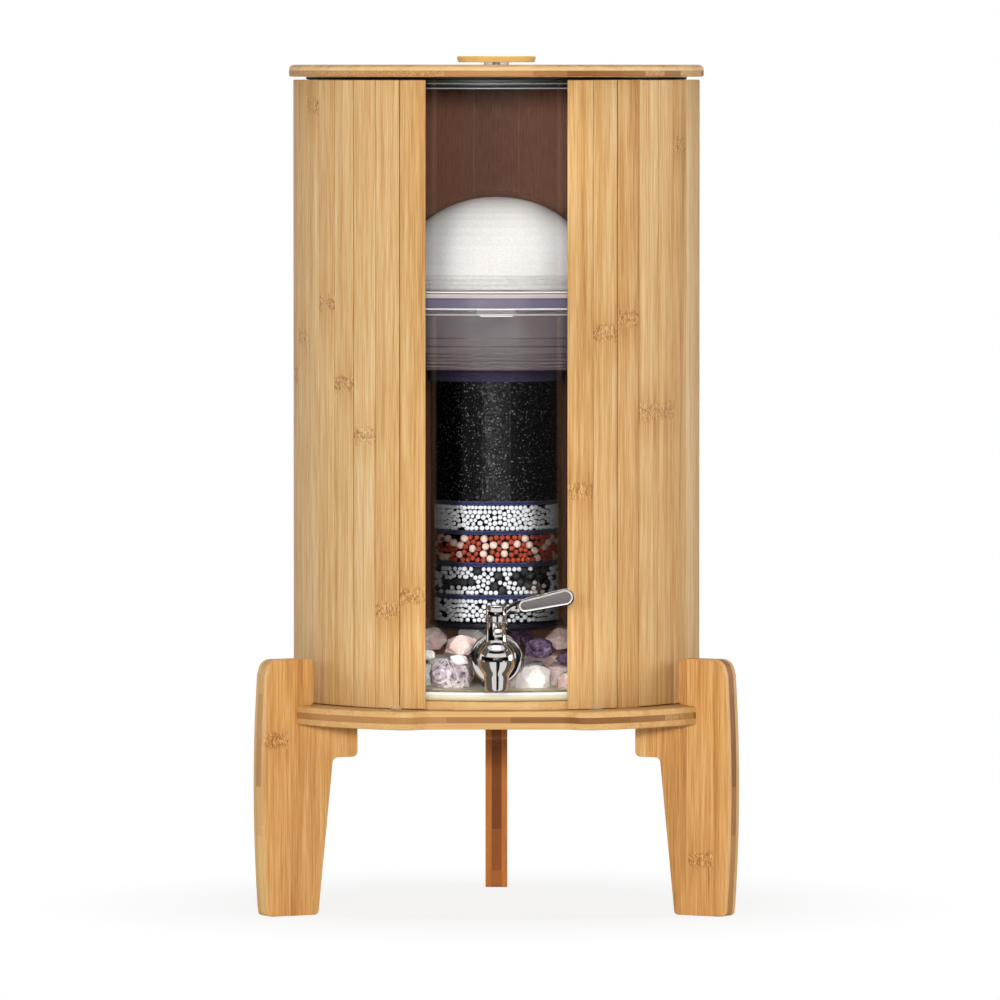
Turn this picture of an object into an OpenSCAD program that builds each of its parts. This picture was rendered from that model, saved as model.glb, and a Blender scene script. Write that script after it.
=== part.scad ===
// Gravity water filter with tap, millimetres.
// Frame: +Z up, origin on the tanks' axis at floor level, the tap faces -Y.

/* [Stand] */
// Height of the plate's underside above the floor
plate_z = 135.5; // [120:0.5:150]
// Thickness of the plate
plate_t = 13; // [12:0.5:14]
// Radius of the plate
plate_r = 168; // [166:0.5:172]
// Distance from the axis to the straight edge of the cup recess
recess_y = 145; // [144:0.5:150]
// Half width of the recess's straight edge
recess_half_w = 44; // [36:1:48]
// Radius of the disc that centres the cover
disc_r = 138.2; // [136:0.1:138.4]
// Thickness of the disc that centres the cover
disc_t = 6; // [5:0.5:7]

/* [Legs] */
// Thickness of a leg board
leg_t = 16; // [12:0.5:18]
// Angle of each front leg from the front
leg_angle = 60; // [56:1:64]
// Distance from the axis to the widest point of a leg
leg_reach = 193.8; // [190:0.1:198]
// How far the outer edge draws in at the foot and at the top
leg_bow = 3.6; // [1:0.1:6]
// Height of the horn above the plate
horn_h = 33; // [25:0.5:40]
// Distance from the axis to the horn's inner edge
horn_r = 153.2; // [151:0.1:156]
// Distance from the axis to the bottom of the leg's notch
notch_r = 161; // [159:0.5:164]
// Distance from the axis to the end of the tab under the plate
tab_r = 118; // [110:0.5:124]
// Depth of the tab under the plate
tab_h = 24.5; // [18:0.5:30]
// Distance from the axis to the inner edge at the knee
knee_r = 138.3; // [134:0.1:144]
// Distance from the axis to the inner edge at the foot
foot_r = 149.6; // [146:0.1:154]

/* [Cover] */
// Radius over the slats
cover_r = 145; // [145:0.1:145.4]
// Height of the slats
cover_h = 442; // [430:1:442]
// Number of slats
slat_count = 40; // [30:2:42]
// Angle from one slat to the next
slat_pitch = 8; // [8:1:8]
// Thickness of a slat
slat_t = 5; // [4.6:0.1:5]
// Gap between neighbouring slats
slat_gap = 0.45; // [0.3:0.05:0.8]
// Thickness of the fabric that the slats are glued to
backing_t = 1; // [0.6:0.1:1]

/* [Tanks] */
// Outer radius of both tanks
tank_r = 134; // [133.5:0.1:134]
// Wall thickness of both tanks
tank_wall = 2.6; // [2.2:0.1:3]
// Floor thickness of both tanks
tank_floor = 4; // [3.5:0.1:4.5]
// Height of the lower tank
lower_h = 276.5; // [276.5:0.5:280]
// Height of the stacking ring between the tanks
ring_h = 6.5; // [5:0.5:6.5]
// Height of the upper tank's wall above its flange
upper_h = 153.1; // [145:0.1:153.1]
// Depth to which the stacking ring's skirt nests in the lower tank
skirt_h = 50.5; // [40:0.5:52]
// Width of the rims over the tank wall
rim_w = 2.5; // [2:0.1:2.5]

/* [Filter] */
// Radius of the ceramic dome
dome_r = 69.6; // [60:0.1:72]
// Height of the ceramic dome
dome_h = 55; // [45:1:60]
// Height of the dome's plastic base
dome_base_h = 12; // [11:0.5:13]
// Outer radius of the cartridge
cartridge_r = 47; // [40:0.5:50]
// Height of the cartridge's underside above the lower tank's floor
cartridge_lift = 41.5; // [41.5:0.5:50]
// Depth of the carbon
carbon_h = 87.6; // [60:0.1:87.6]
// Thickness of the pads between the layers
pad_t = 1.2; // [0.8:0.1:1.6]

/* [Tap] */
// Height of the tap's hole above the plate
tap_z = 36.5; // [35:0.5:38]
// Distance from the tanks' axis to the spout's axis
tap_reach = 175; // [174:0.5:178]
// Radius of the spout's outlet
spout_bore_r = 5.5; // [4.5:0.1:6]
// Radius of the turning plug
plug_r = 4.95; // [4:0.05:4.95]
// Length of the lever from the plug's axis
lever_len = 55.3; // [50:0.1:60]
// Rise of the lever
lever_rise = 12; // [8:0.1:15]

/* [Lid] */
// Radius of the lid
lid_r = 148; // [147:0.5:152]
// Thickness of the lid
lid_t = 8.6; // [8:0.1:10]
// Radius of the knob
knob_r = 28.2; // [20:0.1:32]
// Thickness of the knob
knob_t = 4.4; // [4:0.1:6]
// Gap between the lid and the knob
knob_gap = 1.7; // [1:0.1:3]

/* [Hidden] */
$fn = 128;

// Colours
bamboo = "#d8a767";
bamboo_dark = "#bd8450";
brown_fabric = "#56362a";
clear_plastic = [0.86, 0.88, 0.90, 0.35];
steel = "#b9b7b4";

// Small clearances
glue_line = 0.02;
loose = 0.1;

// Levels, from the floor up
plate_top = plate_z + plate_t;
horn_top = plate_top + horn_h;
tank_z = plate_top + disc_t;
tank_floor_top = tank_z + tank_floor;
lower_top = tank_z + lower_h;
flange_z = lower_top + ring_h;
flange_t = 3;
upper_floor_z = flange_z - 1.5;
upper_floor_top = upper_floor_z + tank_floor - 1.5;
upper_top = flange_z + upper_h;
skirt_bottom = flange_z - skirt_h;
tap_axis_z = plate_top + tap_z;
washer_t = 1.5;
dome_base_z = upper_floor_top + washer_t;
dome_z = dome_base_z + dome_base_h;
lid_ring_t = 2;
spigot_h = 5.1;
lid_z = upper_top + lid_ring_t;
lid_top = lid_z + lid_t;
knob_z = lid_top + knob_gap;

// Radii
tank_inner_r = tank_r - tank_wall;
rim_r = tank_r + rim_w;
skirt_gap = 1.2;
skirt_r = tank_inner_r - skirt_gap;
skirt_wall = 2.4;
ring_inner_r = skirt_r + 0.2;

// Points of an arc from angle a to angle b
function arc(c, r, a, b, n = 6) =
    [for (i = [0:n]) c + r * [cos(a + (b - a) * i / n), sin(a + (b - a) * i / n)]];

// Repeatable value between -1 and 1
function jitter(i) = 2 * (sin(i * 12.9898) * 43758.5453 - floor(sin(i * 12.9898) * 43758.5453)) - 1;

// Solid of revolution about Z from a profile of [radius, height] points
module turned(points) {
    rotate_extrude($fn = 160) polygon(points);
}

// Tube about Z
module ring(r_out, r_in, z0, z1) {
    difference() {
        translate([0, 0, z0]) cylinder(r = r_out, h = z1 - z0);
        translate([0, 0, z0 - 1]) cylinder(r = r_in, h = z1 - z0 + 2);
    }
}

// Puts a solid that was turned about Z on the tap hole's axis, its base towards the tank
module on_tap_hole(y) {
    translate([0, -y, tap_axis_z]) rotate([90, 0, 0]) children();
}

// ---- Stand ----

// Turn of the S-curve that joins the recess to the rim, so that its shoulder meets the rim smoothly
shoulder_r = 14;
hollow_y = recess_y + shoulder_r;
shoulder_turn = atan2(hollow_y, recess_half_w)
    + asin(((plate_r - shoulder_r) ^ 2 - recess_half_w ^ 2 - 4 * shoulder_r ^ 2 - hollow_y ^ 2)
        / (4 * shoulder_r * norm([recess_half_w, hollow_y])));
shoulder_centre = [recess_half_w + 2 * shoulder_r * sin(shoulder_turn),
                   hollow_y - 2 * shoulder_r * cos(shoulder_turn)];
shoulder_end = atan2(shoulder_centre[1], shoulder_centre[0]);

// Right half of the cup recess, from its middle out past the rim
recess_half = concat(
    [[0, plate_r + 10], [0, recess_y]],
    arc([recess_half_w, hollow_y], shoulder_r, -90, -90 + shoulder_turn),
    arc(shoulder_centre, shoulder_r, 90 + shoulder_turn, shoulder_end),
    [(plate_r + 10) * [cos(shoulder_end), sin(shoulder_end)]]
);

module recess_cut() {
    for (side = [0, 1])
        mirror([side, 0, 0]) mirror([0, 1, 0]) polygon(recess_half);
}

module base_plate() {
    color(bamboo)
    difference() {
        translate([0, 0, plate_z]) cylinder(r = plate_r, h = plate_t);
        translate([0, 0, plate_z - 1]) linear_extrude(plate_t + 2) recess_cut();
        for (a = [180, -leg_angle, leg_angle])
            rotate([0, 0, a]) translate([-leg_t / 2 - loose, -plate_r - 5, plate_z - 1])
                cube([leg_t + 2 * loose, plate_r + 5 - notch_r, plate_t + 2]);
    }
}

module locating_disc() {
    color(bamboo) translate([0, 0, plate_top]) cylinder(r = disc_r, h = disc_t);
}

// Outline of a leg: x is the distance from the axis and y the height
bow_z = horn_top / 2;
bow_r = (bow_z * bow_z + leg_bow * leg_bow) / (2 * leg_bow);
bow_end = asin(bow_z / bow_r);
corner_big = 9;
corner_small = 4;
leg_outline = concat(
    arc([foot_r + 3, 3], 3, 180, 270, 3),
    arc([leg_reach - leg_bow - 3, 3], 3, 270, 360, 3),
    arc([leg_reach - bow_r, bow_z], bow_r, -bow_end * 0.92, bow_end * 0.88, 12),
    arc([leg_reach - leg_bow - corner_big, horn_top - corner_big], corner_big, 8, 90),
    arc([horn_r + corner_small, horn_top - corner_small], corner_small, 90, 180),
    arc([horn_r + corner_small, plate_top + corner_small], corner_small, 180, 270),
    [[notch_r, plate_top], [notch_r, plate_z], [tab_r + 1, plate_z], [tab_r, plate_z - 1]],
    arc([tab_r + corner_small, plate_z - tab_h + corner_small], corner_small, 180, 270),
    arc([knee_r - corner_small, plate_z - tab_h - corner_small], corner_small, 90, 5)
);

module leg(angle) {
    color(bamboo_dark)
    rotate([0, 0, angle - 90]) rotate([90, 0, 0]) translate([0, 0, -leg_t / 2])
        linear_extrude(leg_t) polygon(leg_outline);
}

module leg_back() leg(180);
module leg_left() leg(-leg_angle);
module leg_right() leg(leg_angle);

// Clear stick-on domes that hold the slat ends in
bumper_r = 4.4;
bumper_h = 3.6;
bumper_place = [151, 27.8];
module cover_bumpers() {
    color(clear_plastic)
    for (side = [-1, 1])
        rotate([0, 0, side * bumper_place[1]]) translate([0, -bumper_place[0], plate_top])
            turned(concat([[0, 0], [bumper_r, 0]],
                [for (a = [10:20:90]) [bumper_r * cos(a), 0.6 + (bumper_h - 0.6) * sin(a)]]));
}

// ---- Cover ----

half_pitch = slat_pitch / 2;
opening_half = (360 - slat_count * slat_pitch) / 2;
slat_in = cover_r - slat_t;
slat_bevel = 0.6;
slat_taper = 1.8;
backing_inset = 3;

// Cross-section of one slat, its outer face at the front
module slat_section() {
    half_out = cover_r * tan(half_pitch) - slat_gap / 2;
    half_in = slat_in * tan(half_pitch) - slat_gap / 2 - slat_taper;
    polygon([
        [-half_in, -slat_in], [half_in, -slat_in],
        [half_out, -cover_r + slat_bevel], [half_out - slat_bevel, -cover_r],
        [-half_out + slat_bevel, -cover_r], [-half_out, -cover_r + slat_bevel]
    ]);
}

module slat_cover() {
    color(bamboo)
    for (i = [0:slat_count - 1])
        rotate([0, 0, opening_half + (i + 0.5) * slat_pitch])
            translate([0, 0, plate_top]) linear_extrude(cover_h) slat_section();
}

// A corner of the backing on boundary i between slats, at the given distance to its flats
function backing_corner(i, flat_r) =
    let (a = opening_half + i * slat_pitch - 90, r = flat_r / cos(half_pitch)) r * [cos(a), sin(a)];

// The corners of the backing from one side of the window to the other, stopping short of it
function backing_line(flat_r) =
    let (pull = backing_inset / (2 * flat_r * tan(half_pitch)), last = slat_count,
         first_end = backing_corner(0, flat_r), last_end = backing_corner(last, flat_r))
    concat(
        [first_end + pull * (backing_corner(1, flat_r) - first_end)],
        [for (i = [1:last - 1]) backing_corner(i, flat_r)],
        [last_end + pull * (backing_corner(last - 1, flat_r) - last_end)]);

module cover_backing() {
    outer = backing_line(slat_in - glue_line);
    inner = backing_line(slat_in - backing_t);
    color(brown_fabric)
    translate([0, 0, plate_top + 2]) linear_extrude(cover_h - 4)
        polygon(concat(outer, [for (i = [slat_count:-1:0]) inner[i]]));
}

// ---- Lower tank ----

land_r = 22;
land_out = tank_r + 0.6;
land_in = tank_inner_r - 1.4;
shank_r = 8;
hole_r = shank_r + 0.25;

// Cross-section of the lower tank's wall, floor and rim
lower_profile = concat(
    [[0, tank_z]],
    arc([tank_r - 4, tank_z + 4], 4, -90, 0),
    [[tank_r, lower_top - 3.2 - rim_w], [rim_r, lower_top - 3.2]],
    arc([rim_r - 0.8, lower_top - 0.8], 0.8, 0, 90, 3),
    [[tank_inner_r + 0.6, lower_top], [tank_inner_r, lower_top - 0.6]],
    arc([tank_inner_r - 7, tank_floor_top + 7], 7, 0, -90),
    [[0, tank_floor_top]]
);

// Finger lug under the rim
lug_w = 27;
lug_h = 6.2;
module lug() {
    translate([0, -tank_r + 1, lower_top - lug_h]) rotate([90, 0, 0]) linear_extrude(4.2)
        polygon([[-lug_w / 2, lug_h - 1], [-lug_w / 2, 2.4], [-lug_w / 2 + 2.4, 0],
                 [lug_w / 2 - 2.4, 0], [lug_w / 2, 2.4], [lug_w / 2, lug_h - 1]]);
}

module lower_tank() {
    color(clear_plastic)
    difference() {
        union() {
            turned(lower_profile);
            intersection() {
                on_tap_hole(land_in) cylinder(r = land_r, h = land_out - land_in);
                translate([0, 0, tank_z]) cylinder(r = land_out + 1, h = lower_h / 2);
            }
            lug();
            rotate([0, 0, 180]) lug();
        }
        on_tap_hole(land_in - 2) cylinder(r = hole_r, h = land_out - land_in + 4);
    }
}

// ---- Stones ----

golden = (1 + sqrt(5)) / 2;
rock_points = [
    [-1, golden, 0], [1, golden, 0], [-1, -golden, 0], [1, -golden, 0],
    [0, -1, golden], [0, 1, golden], [0, -1, -golden], [0, 1, -golden],
    [golden, 0, -1], [golden, 0, 1], [-golden, 0, -1], [-golden, 0, 1]
];
rock_faces = [
    [5, 11, 0], [1, 5, 0], [7, 1, 0], [10, 7, 0], [11, 10, 0],
    [9, 5, 1], [4, 11, 5], [2, 10, 11], [6, 7, 10], [8, 1, 7],
    [4, 9, 3], [2, 4, 3], [6, 2, 3], [8, 6, 3], [9, 8, 3],
    [5, 9, 4], [11, 4, 2], [10, 2, 6], [7, 6, 8], [1, 8, 9]
];

// A rough stone that stays within the half sizes given
module rock(half, seed) {
    reach = norm([1, golden]);
    polyhedron(
        points = [for (i = [0:11])
            let (pull = 0.90 + 0.10 * jitter(seed * 12 + i))
            [for (k = [0:2]) rock_points[i][k] * half[k] * pull / reach]],
        faces = rock_faces);
}

// Each bed of stones: ring radius, first angle, step, count, half sizes, lift above the floor
stone_beds = [
    [107, 54, 18, 15, [14.6, 19, 11.5], 0],
    [105, 63, 18, 14, [14.6, 18, 11.5], 19.4],
    [67, 10, 34, 10, [17, 17, 13], 0],
    [26, 0, 90, 4, [16, 16, 12], 0],
    [103, 0, 1, 1, [13, 13, 6], 0],
];

// Kinds of stone
rose = 0;
purple = 1;
milky = 2;

// The stones behind the window: kind, angle, ring radius, half sizes, lift above the floor
window_stones = [
    [purple, -17.8, 108, [19.5, 16, 17], 0],
    [milky, 13.8, 109, [17.5, 16, 15], 0],
    [rose, 28, 112, [14, 14, 11.5], 0],
    [rose, -37, 108, [14, 17, 12], 0],
    [milky, 42, 108, [14, 17, 12], 0],
    [rose, -13.5, 103, [16, 13, 9.6], 27],
    [milky, -12.6, 119.5, [8.6, 6, 5], 21],
    [purple, 16.6, 105, [13, 12.5, 10.4], 24.6],
    [purple, 27.5, 112, [13.5, 13, 8.4], 18.4],
    [milky, -27.5, 111, [12.5, 12, 6], 23],
    [purple, -42, 105, [15, 17, 11.5], 21],
    [rose, 44, 105, [15, 17, 11.5], 21],
];

// A stone with its centre sunk so that its cut underside lies on the floor, or on others at the lift
stone_sink = 0.68;
module place_rock(angle, ring_r, half, lift, seed) {
    rotate([0, 0, angle]) translate([0, -ring_r, tank_floor_top + glue_line + lift])
        intersection() {
            translate([0, 0, half[2] * stone_sink]) rock(half, seed);
            translate([-half[0], -half[1], 0]) cube([2 * half[0], 2 * half[1], 2 * half[2]]);
        }
}

module stones(kind) {
    for (i = [0:len(window_stones) - 1])
        let (stone = window_stones[i])
        if (stone[0] == kind) place_rock(stone[1], stone[2], stone[3], stone[4], 300 + i);
    // every third stone of the beds
    for (b = [0:len(stone_beds) - 1])
        let (bed = stone_beds[b])
        for (i = [0:bed[3] - 1])
            if ((i + b) % 3 == kind)
                place_rock(bed[1] + i * bed[2], bed[0], bed[4], bed[5], 50 * b + i);
}

module stones_rose_quartz() color("#e6bfb9") stones(rose);
module stones_amethyst() color("#5b4468") stones(purple);
module stones_clear_quartz() color("#efe9e4") stones(milky);

// ---- Tap ----

flange_back = land_out + 1.4;
flange_thick = 3;
spout_z = plate_top + 16.5;
spout_bore_h = 10;
bulb_r = 12.9;
bulb_h = 14.2;
bulb_z = tap_axis_z + 1;
neck_z = tap_axis_z + 16.7;
neck_top = tap_axis_z + 27.4;
neck_r = 7.1;
plug_z = tap_axis_z - 8;
plug_gap = 0.05;
stop_h = 4.5;
cap_r = 7.35;
cap_z = neck_top + 0.6;
cap_top = tap_axis_z + 39.5;

// Outer profile of the spout, the bulb and the neck
tap_profile = concat(
    [[0, spout_z], [7.3, spout_z], [7.8, spout_z + 0.5], [8.4, spout_z + 6], [8.8, spout_z + 10]],
    [for (a = [-40:8:48]) [bulb_r * cos(a), bulb_z + bulb_h * sin(a)]],
    [[neck_r + 0.8, neck_z - 3.6], [neck_r + 0.25, neck_z - 2], [neck_r, neck_z], [neck_r, neck_top],
     [0, neck_top]]
);

module tap_body() {
    color(steel)
    difference() {
        union() {
            translate([0, -tap_reach, 0]) turned(tap_profile);
            on_tap_hole(flange_back + flange_thick)
                cylinder(r = 10.5, h = tap_reach - flange_back - flange_thick);
            on_tap_hole(flange_back + flange_thick) cylinder(r = 13.8, h = 5);
            on_tap_hole(land_in - 14) cylinder(r = shank_r, h = tap_reach - land_in);
        }
        // spout outlet
        translate([0, -tap_reach, spout_z - 1]) cylinder(r = spout_bore_r, h = spout_bore_h + 1);
        translate([0, -tap_reach, spout_z]) cylinder(r = 3.4, h = 20);
        // seat of the plug
        translate([0, -tap_reach, plug_z]) cylinder(r = plug_r + plug_gap, h = 50);
        // water way from the tank
        on_tap_hole(land_in - 20) cylinder(r = 3.4, h = tap_reach - land_in + 20);
        // quarter-turn window for the stop pin, at the front and the right
        translate([0, -tap_reach, neck_top - stop_h]) rotate([0, 0, -100])
            rotate_extrude(angle = 110) translate([plug_r + 1, 0]) square([5, 10]);
    }
}

module tap_flange() {
    color(steel)
    on_tap_hole(flange_back)
        turned([[shank_r + loose, 0], [17.6, 0], [18.4, 0.8], [18.4, 1.6], [17.4, flange_thick - 0.4],
                [15.5, flange_thick], [shank_r + loose, flange_thick]]);
}

module tap_outer_seal() {
    color("#202020") on_tap_hole(land_out) ring(15.5, shank_r + loose, 0, 1.4);
}

module tap_inner_seal() {
    color("#e8e8e8") on_tap_hole(land_in - 2) ring(14, shank_r + loose, 0, 2);
}

module tap_nut() {
    color(steel)
    on_tap_hole(land_in - 8)
        difference() {
            cylinder(r = 13.4, h = 6, $fn = 6);
            translate([0, 0, -1]) cylinder(r = shank_r + loose, h = 8);
        }
}

// Turning plug with its cross hole, closed at rest
module valve_plug() {
    color(steel)
    translate([0, -tap_reach, plug_z + 0.1])
        difference() {
            cylinder(r = plug_r, h = cap_z - plug_z + 5);
            translate([-10, 0, tap_axis_z - plug_z]) rotate([0, 90, 0]) cylinder(r = 3, h = 20);
            translate([0, 0, -1]) cylinder(r = 3, h = tap_axis_z - plug_z + 1);
        }
}

module tap_cap() {
    color(steel)
    translate([0, -tap_reach, 0])
        difference() {
            union() {
                turned([[0, cap_z], [cap_r - 0.3, cap_z], [cap_r, cap_z + 0.5], [cap_r, cap_top - 0.8],
                        [cap_r - 0.8, cap_top], [0, cap_top]]);
                // stop pin, in the window of the neck
                translate([plug_r + 1.3, -0.9, cap_z - stop_h + 1.2])
                    cube([1.2, 1.8, stop_h]);
            }
            translate([0, 0, cap_z - 1]) cylinder(r = plug_r, h = 6.2);
        }
}

// Side outline of the lever, from the cap outwards, its paddle widening to a round end
paddle_r = 6.1;
paddle_near_r = 4.9;
paddle_start = 20.1;
paddle_tip = lever_len - paddle_r;
function paddle(grow) = concat(
    arc([paddle_tip, 0], paddle_r + grow, -86, 86, 10),
    arc([paddle_start, 0], paddle_near_r + grow, 94, 266, 8)
);
paddle_lift = cap_top - 4.6;
lever_thick = 5;
inset_depth = 1;
rim = 1;
ledge = 0.6;
ledge_depth = 0.45;

// Puts an outline that lies in the lever's plane on the lever, from y0 towards the front
module on_lever(y0, t) {
    translate([0, -tap_reach - y0, paddle_lift]) rotate([90, -lever_rise, 0]) linear_extrude(t) children();
}

// Side outline of the neck between the cap and the paddle
lever_neck = [
    [cap_r - 1.2, -3.2], [paddle_start - 8.7, -4.1], [paddle_start - 5.5, -4.4], [paddle_start + 1, -4.6],
    [paddle_start, 4.8], [paddle_start - 4, 4.6], [paddle_start - 7, 3.8], [paddle_start - 9.4, 2.7],
    [paddle_start - 12, 2], [cap_r - 1.2, 1.8]
];

module lever_arm() {
    color(steel)
    difference() {
        union() {
            on_lever(-lever_thick / 2, lever_thick) polygon(paddle(0));
            on_lever(-lever_thick / 2 + 0.6, lever_thick - 1.2)
                polygon(lever_neck);
        }
        on_lever(lever_thick / 2 - ledge_depth, 2) polygon(paddle(-rim));
        on_lever(lever_thick / 2 - inset_depth, 2) polygon(paddle(-rim - ledge));
        translate([0, -tap_reach, cap_z - 5]) cylinder(r = cap_r + glue_line, h = 40);
    }
}

module lever_inset() {
    color("#8a8280") on_lever(lever_thick / 2 - inset_depth, inset_depth - 0.2) 
        polygon(paddle(-rim - ledge - loose));
}

// ---- Upper tank ----

stem_r = 6;

// Cross-section of the upper tank's flange, wall and floor
upper_profile = concat(
    [[stem_r + 0.3, upper_floor_z], [ring_inner_r - 0.3, upper_floor_z], [ring_inner_r - 0.3, flange_z],
     [rim_r, flange_z]],
    arc([rim_r - 0.8, flange_z + flange_t - 0.8], 0.8, 0, 90, 3),
    [[tank_r + 0.8, flange_z + flange_t], [tank_r, flange_z + flange_t + 0.8],
     [tank_r, upper_top - 2.4], [tank_r + 1, upper_top - 1.6], [tank_r + 1, upper_top],
     [tank_inner_r, upper_top]],
    arc([tank_inner_r - 5, upper_floor_top + 5], 5, 0, -90),
    [[stem_r + 0.3, upper_floor_top]]
);

module upper_tank() {
    color(clear_plastic) turned(upper_profile);
}

rib_h = 1.2;
rib_step = 3.2;
rib_count = 6;
ledge_z = upper_floor_z - 0.5;

// Cross-section of the ring that carries the upper tank: its ribbed skirt nests in the lower tank
stacking_profile = concat(
    [[skirt_r - skirt_wall, ledge_z], [skirt_r - skirt_wall, skirt_bottom + 0.6],
     [skirt_r - skirt_wall + 0.6, skirt_bottom], [skirt_r - 0.6, skirt_bottom], [skirt_r, skirt_bottom + 0.6]],
    [for (i = [0:rib_count - 1]) each
        let (z = skirt_bottom + 3 + i * rib_step)
        [[skirt_r, z], [skirt_r + 0.6, z + 0.3], [skirt_r + 0.6, z + rib_h - 0.3], [skirt_r, z + rib_h]]],
    [[skirt_r, lower_top], [rim_r - 0.4, lower_top], [rim_r - 0.4, flange_z], [ring_inner_r, flange_z],
     [ring_inner_r, ledge_z]]
);

module stacking_ring() {
    color([0.42, 0.40, 0.60, 0.6]) turned(stacking_profile);
}

// ---- Filter ----

dome_wall = 7;
function dome_curve(grow, n = 12) =
    [for (i = [0:n]) [(dome_r + grow) * cos(90 * i / n), dome_z + (dome_h + grow) * sin(90 * i / n)]];

module ceramic_dome() {
    curve_in = dome_curve(-dome_wall);
    color("#f0ece9")
        turned(concat(dome_curve(0), [for (i = [len(curve_in) - 1:-1:0]) curve_in[i]]));
}

// White plastic base with two grooves and its threaded stem
stem_bottom = upper_floor_z - 22;
module dome_base() {
    groove = 0.8;
    color("#f4f2ef")
    difference() {
        turned([
            [0, stem_bottom], [stem_r, stem_bottom], [stem_r, dome_base_z],
            [dome_r + 1.4, dome_base_z], [dome_r + 1.8, dome_base_z + 0.6], [dome_r + 1.4, dome_base_z + 2.4],
            [dome_r + 0.6, dome_base_z + 2.8],
            [dome_r + 0.6, dome_base_z + 4.6], [dome_r + 0.6 - groove, dome_base_z + 5],
            [dome_r + 0.6 - groove, dome_base_z + 5.6], [dome_r + 0.6, dome_base_z + 6],
            [dome_r + 0.6, dome_base_z + 8], [dome_r + 0.6 - groove, dome_base_z + 8.4],
            [dome_r + 0.6 - groove, dome_base_z + 9], [dome_r + 0.6, dome_base_z + 9.4],
            [dome_r + 0.6, dome_z - 0.6], [dome_r, dome_z],
            [dome_r - dome_wall, dome_z], [dome_r - dome_wall - 2, dome_base_z + 3], [0, dome_base_z + 3]
        ]);
        translate([0, 0, stem_bottom - 1]) cylinder(r = 3, h = dome_z);
    }
}

module dome_washer() {
    color("#d9d9dc") ring(16, stem_r + 0.1, upper_floor_top, dome_base_z);
}

// Nut that clamps the dome to the tank's floor, with two wings
nut_h = 7;
nut_z = upper_floor_z - nut_h;
module stem_nut() {
    color("#f4f2ef")
    difference() {
        union() {
            translate([0, 0, nut_z]) cylinder(r = 11, h = nut_h);
            for (side = [0, 180])
                rotate([0, 0, side]) translate([8, -2, nut_z]) cube([10, 4, nut_h - 1]);
        }
        translate([0, 0, nut_z - 1]) cylinder(r = stem_r + 0.1, h = nut_h + 2);
    }
}

// Levels of the cartridge, from its underside up
cartridge_z = tank_floor_top + cartridge_lift;
base_h = 4;
white_low_h = 18.4;
mixed_h = 21.8;
red_h = 21.6;
white_high_h = 19.8;
media_z = cartridge_z + base_h;
mixed_z = media_z + white_low_h + pad_t;
red_z = mixed_z + mixed_h + pad_t;
white_high_z = red_z + red_h + pad_t;
carbon_z = white_high_z + white_high_h + pad_t;
top_pad_z = carbon_z + carbon_h;
shell_top = top_pad_z + pad_t + 5;
cartridge_wall = 2;
media_r = cartridge_r - cartridge_wall - 0.05;
cap_neck_r = 13.5;
gasket_t = 1;
cap_neck_top = nut_z - gasket_t;
thread_gap = 0.08;

module neck_gasket() {
    color("#d9d9dc") ring(cap_neck_r - 0.5, stem_r + 0.4, cap_neck_top, nut_z);
}

module cartridge_cap() {
    color(clear_plastic)
    turned(concat(
        [[cartridge_r + 0.1, shell_top - 8], [cartridge_r + 2, shell_top - 8], [cartridge_r + 2, shell_top + 1]],
        arc([cartridge_r - 6, shell_top + 1], 8, 10, 75, 5),
        [[cap_neck_r + 3, shell_top + 13], [cap_neck_r, shell_top + 17], [cap_neck_r, cap_neck_top],
         [stem_r + thread_gap, cap_neck_top], [stem_r + thread_gap, stem_bottom - 2],
         [cap_neck_r - 2.2, stem_bottom - 4],
         [cap_neck_r - 2.2, shell_top + 13], [cartridge_r - 8, shell_top + 6],
         [cartridge_r - 3, shell_top + 0.02], [cartridge_r + 0.1, shell_top + 0.02]]
    ));
}

module cartridge_body() {
    color(clear_plastic) ring(cartridge_r, cartridge_r - cartridge_wall, cartridge_z + base_h, shell_top);
}

// Dark base with its rings of outlet holes
module cartridge_base() {
    color("#15151a")
    difference() {
        turned([[0, cartridge_z], [cartridge_r - 2, cartridge_z], [cartridge_r + 0.3, cartridge_z + 1.4],
                [cartridge_r + 0.3, cartridge_z + base_h], [0, cartridge_z + base_h]]);
        for (r = [14, 28], a = [0:45:315])
            rotate([0, 0, a]) translate([r, 0, cartridge_z - 1]) cylinder(r = 1.6, h = base_h + 2);
    }
}

module pad(z) {
    translate([0, 0, z]) cylinder(r = media_r, h = pad_t);
}

module cartridge_pads() {
    color("#2a3160")
    for (z = [mixed_z - pad_t, red_z - pad_t, white_high_z - pad_t, carbon_z - pad_t, top_pad_z]) pad(z);
}

module bed(z, h) {
    translate([0, 0, z]) cylinder(r = media_r, h = h);
}

module carbon_bed() color("#161618") bed(carbon_z, carbon_h);
module beads_white_upper() color("#eeeeec") bed(white_high_z, white_high_h);
module beads_red() color("#b0432e") bed(red_z, red_h);
module beads_mixed() color("#77777a") bed(mixed_z, mixed_h);
module beads_white_lower() color("#eeeeec") bed(media_z, white_low_h);

// ---- Lid ----

screw_r = 2;
screw_head_r = 5;
lid_bore_r = screw_r + 0.2;
lid_edge = 3.6;

module lid_board() {
    color(bamboo)
    difference() {
        turned(concat(
            [[0, lid_z], [lid_r - 1, lid_z], [lid_r, lid_z + 1]],
            arc([lid_r - lid_edge, lid_top - lid_edge], lid_edge, 0, 90, 5),
            [[0, lid_top]]));
        translate([0, 0, lid_z - 1]) cylinder(r = lid_bore_r, h = lid_t + 2);
        translate([0, 0, lid_z - 1]) cylinder(r = screw_head_r + 0.3, h = 3.6);
    }
}

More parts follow.
